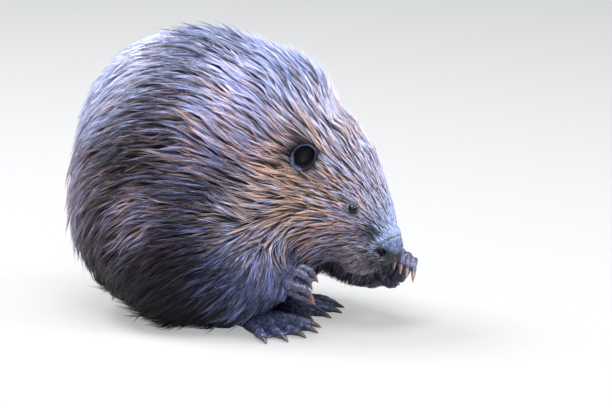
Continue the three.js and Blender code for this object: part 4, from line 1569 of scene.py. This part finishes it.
# What the coat's colour is multiplied by in each kind of hair; the bluish tint of the light hairs is a
# painted sheen.
TAWNY_TINT, DARK_TINT, SHEEN_TINT = np.array([(1.50, 0.97, 0.64), (1.20, 0.95, 0.86), (0.92, 0.99, 1.18)])
STRAND_LIGHT = 1.35  # strands are lighter than the coat's mean, which has dark gaps in it
tawny = 0.1 + sum(s * near(roots[:, [0, 2]], (x, z), reach) for x, z, reach, s in TAWNY)
is_tawny = (rng.random(len(leads))[lock] * 0.6 + rng.random(count) * 0.4 < tawny)[:, None]
painted_sheen = smooth_step(tone, 0.55, 1.35)[:, None]  # dark hairs are brown, and light ones carry a painted bluish sheen
tint = np.where(is_tawny, TAWNY_TINT, DARK_TINT * (1 - painted_sheen) + SHEEN_TINT * painted_sheen)
hair_colour = ground * tint * STRAND_LIGHT
hair_colour *= np.minimum(0.95 / (hair_colour.max(1) * tone), 1)[:, None]

# Each hair is a closed spindle: a point at the root, rings of three corners, and a point at the tip.
# A long hair has three rings, which are its steps, widths and places along it, and a short one two.
LONG_HAIR = [(1, 0.85, 0.25), (2, 1.0, 0.5), (3, 0.7, 0.75)]
SHORT_HAIR = [(1, 1.0, 0.3), (3, 0.8, 0.75)]


def spindle_of(rings):
    """Triangles, places across and places along of one hair."""
    last = 3 * len(rings) + 1
    triangles = []
    for ring in range(len(rings)):
        for side in range(3):
            a, b = 1 + ring * 3 + side, 1 + ring * 3 + (side + 1) % 3
            if ring == 0:
                triangles.append((0, b, a))
            if ring < len(rings) - 1:
                triangles += [(a, b, b + 3), (a, b + 3, a + 3)]
            else:
                triangles.append((a, b, last))
    across = [0.5] + [0.0, 0.5, 1.0] * len(rings) + [0.5]
    along = [0.0] + [place for _, _, place in rings for _ in range(3)] + [1.0]
    return np.array(triangles), np.array(across), np.array(along)


PATCH = 0.003  # how wide each hair's patch on the map is
MAP_KEPT = 0.03  # the share of its triangles that the skin keeps to be unwrapped


def unwrap(points, faces):
    """A coarse copy of the skin, unwrapped: its search tree, corners and places on the map."""
    piece = mesh_from("unwrap", points, faces)
    use_modifier(piece, "DECIMATE", ratio=MAP_KEPT)
    bpy.ops.object.mode_set(mode="EDIT")
    bpy.ops.mesh.select_all(action="SELECT")
    bpy.ops.uv.smart_project(angle_limit=math.radians(60), island_margin=0.004)
    bpy.ops.object.mode_set(mode="OBJECT")
    mesh = piece.data
    corners, triangles, _ = arrays_of(mesh)
    loops = np.empty(len(mesh.loop_triangles) * 3, np.int32)
    mesh.loop_triangles.foreach_get("loops", loops)
    places = np.empty(len(mesh.loops) * 2, np.float32)
    mesh.uv_layers.active.data.foreach_get("uv", places)
    places = places.reshape(-1, 2)[loops].reshape(-1, 3, 2)
    bpy.data.objects.remove(piece)
    return BVHTree.FromPolygons(corners.tolist(), triangles.tolist()), corners[triangles], places


def places_on_map(roots):
    """Where each hair's root lies on the unwrapped skin."""
    tree, triangles, places = unwrap(points, faces)
    found = [tree.find_nearest(p) for p in roots.tolist()]
    at = np.array([f[0] for f in found])
    which = np.array([f[2] for f in found])
    a, b, c = (triangles[which][:, i] for i in range(3))
    normal = np.cross(b - a, c - a)
    area = np.maximum((normal**2).sum(1), 1e-18)
    v = (np.cross(at - a, c - a) * normal).sum(1) / area
    w = (np.cross(b - a, at - a) * normal).sum(1) / area
    share = np.clip(np.stack([1 - v - w, v, w], 1), 0, 1)
    share /= share.sum(1, keepdims=True)
    return (places[which] * share[:, :, None]).sum(1)


EAR_FRINGE = 700  # short hairs on the back of each ear, up to its edge
for side in EYES:
    centre, mouth, across, tall = ear_frame(side)
    turn = rng.uniform(0, 2 * math.pi, EAR_FRINGE)
    high = rng.uniform(-0.35, 0.22, EAR_FRINGE)
    c, s = np.cos(turn)[:, None], np.sin(turn)[:, None]
    off_middle = across * c * EAR_WIDE + tall * s * EAR_TALL
    start = centre + (off_middle * 0.97 + mouth * high[:, None] * EAR_DEEP) * MM
    away = unit(off_middle)
    leaning = unit(mouth * 0.85 + away * 0.12 + tall * 0.25 + rng.normal(0, 0.14, (EAR_FRINGE, 3)))
    reach = rng.uniform(4.0, 7.5, EAR_FRINGE)[:, None] * MM
    steps = np.linspace(-0.1, 1, HAIR_STEPS + 1)[None, :, None]
    strand = start[:, None] + leaning[:, None] * reach[:, None] * steps - away[:, None] * MM * 0.9 * steps**2
    roots = np.vstack([roots, start])
    path = np.concatenate([path, strand])
    over = np.concatenate([over, np.repeat(away[:, None], HAIR_STEPS + 1, axis=1)])
    width = np.concatenate([width, np.full(EAR_FRINGE, 0.3 * MM)])
    tone = np.concatenate([tone, np.exp(rng.normal(0, 0.5, EAR_FRINGE))])
    hair_colour = np.vstack([hair_colour, np.tile(np.array(linear(70, 66, 84)), (EAR_FRINGE, 1))])
    root_depth = np.concatenate([root_depth, np.full(EAR_FRINGE, 4.0)])
    hidden = np.concatenate([hidden, np.zeros(EAR_FRINGE, bool)])

map_place = places_on_map(roots)


def hair_piece(name, chosen, rings):
    """One piece of the coat, of the chosen hairs."""
    spindle, across, along = spindle_of(rings)
    spine, up = path[chosen], over[chosen]
    number, corners_each = len(chosen), len(across)
    roll = rng.normal(0, 0.4, number)[:, None]
    corners = [spine[:, 0]]
    for step, share, _ in rings:
        forward = unit(spine[:, step + 1] - spine[:, step - 1])
        side = unit(np.cross(forward, up[:, step]))
        top = np.cross(side, forward)
        side, top = side * np.cos(roll) + top * np.sin(roll), top * np.cos(roll) - side * np.sin(roll)
        half = (width[chosen] * share / 2)[:, None]
        at = spine[:, step]
        corners += [
            at - side * half - top * half * 0.3,
            at + top * half * 0.8,
            at + side * half - top * half * 0.3,
        ]
    corners.append(spine[:, HAIR_STEPS])
    corners = np.stack(corners, 1)
    corners[:, :, 2] = np.maximum(corners[:, :, 2], CORNER_GAP)
    triangles = (spindle[None] + (np.arange(number) * corners_each)[:, None, None]).reshape(-1, 3)
    piece = mesh_object(name, corners.reshape(-1, 3), triangles, coat_material, "fur")
    # The short hair of the face is pale nearly to its roots.
    pale = 0.5 * (1 - smooth_step(root_depth[chosen], 1.2, 3.5))[:, None]
    set_attribute(piece.data, "along", (along[None] * (1 - pale) + pale).ravel())
    set_attribute(piece.data, "tone", np.repeat(tone[chosen], corners_each))
    set_attribute(piece.data, "coat", np.repeat(hair_colour[chosen], corners_each, axis=0))
    patch = np.stack([across, along], 1) - 0.5
    place = map_place[chosen][:, None, None] + (patch * PATCH)[spindle][None]
    piece.data.uv_layers.new(name="OFBake").data.foreach_set("uv", place.astype(np.float32).ravel())


PIECE_LIMIT = 190000  # triangles


def coat_pieces(name, chosen, rings, sort_by):
    """Hairs in as many pieces as the limit asks for, from front to back."""
    chosen = chosen[np.argsort(-sort_by[chosen])]
    pieces = max(1, math.ceil(len(chosen) * len(spindle_of(rings)[0]) / PIECE_LIMIT))
    for number, part in enumerate(np.array_split(chosen, pieces)):
        hair_piece(f"{name}_{number + 1}", part, rings)


SHORT_UNDER = 6.0  # where the coat is shallower than this, in millimetres, its hairs have fewer rings
short = root_depth < SHORT_UNDER
coat_pieces("coat_short", np.where(short & ~hidden)[0], SHORT_HAIR, roots[:, 0])
coat_pieces("coat_long", np.where(~short & ~hidden)[0], LONG_HAIR, roots[:, 0])


# ---------------------------------------------------------------- studio

# Each lamp's name, place, size across, power and colour.
LAMPS = [
    ("sky_light", (0.1, -0.5, 2.5), 1.8, 86, (0.88, 0.92, 1.0)),
    ("side_light", (1.2, -2.4, 1.9), 1.4, 40, (0.97, 0.97, 1.0)),
    ("front_light", (2.3, 0.1, 1.8), 1.2, 60, (0.86, 0.91, 1.0)),
    ("back_light", (-1.7, 0.1, 2.4), 1.2, 128, (0.88, 0.92, 1.0)),
]
LAMPS_AIM = Vector((0, -0.05, 0.12))


def light_studio():
    """A plain pale sky, and four large soft lamps round the animal."""
    world = bpy.data.worlds.new("studio")
    bpy.context.scene.world = world
    world.use_nodes = True
    sky = Nodes(world.node_tree)
    light = sky.tree.nodes["Background"]
    sky.put(light.inputs["Color"], (0.91, 0.93, 1.0, 1))
    sky.put(light.inputs["Strength"], 0.35)
    pale = sky.node("ShaderNodeBackground", {}, (0.93, 0.94, 0.95, 1), 1.0)
    camera_ray = sky.node("ShaderNodeLightPath", {}, out="Is Camera Ray")
    sky.show("World Output", Socket(sky, light.outputs[0]), pale, camera_ray)
    for name, at, size, power, colour in LAMPS:
        lamp = bpy.data.lights.new(name, "AREA")
        lamp.shape = "DISK"
        lamp.size = size
        lamp.energy = power
        lamp.color = colour
        holder = bpy.data.objects.new(name, lamp)
        bpy.context.scene.collection.objects.link(holder)
        holder.location = at
        holder.rotation_euler = (LAMPS_AIM - Vector(at)).to_track_quat("-Z", "Y").to_euler()


def lay_floor():
    """A wide pale floor that keeps the animal's shadow."""
    bpy.ops.object.select_all(action="DESELECT")
    bpy.ops.mesh.primitive_plane_add(size=40, location=(0, 0, -0.0006))
    floor = bpy.context.object
    floor.name = "floor"
    made = Finish("floor", Roughness=0.8)
    speck = made.noise(60, 2)
    made.connect(Base_Color=made.mix(speck, (0.37, 0.36, 0.34), (0.40, 0.385, 0.36)))
    glow = made.node("ShaderNodeEmission", {}, (0.86, 0.87, 0.88, 1))
    camera_ray = made.node("ShaderNodeLightPath", {}, out="Is Camera Ray")
    made.show("Material Output", Socket(made, made.shader.outputs[0]), glow, camera_ray * 0.45)
    floor.data.materials.append(made.material)


light_studio()
lay_floor()
bpy.context.scene.view_settings.view_transform = "Standard"
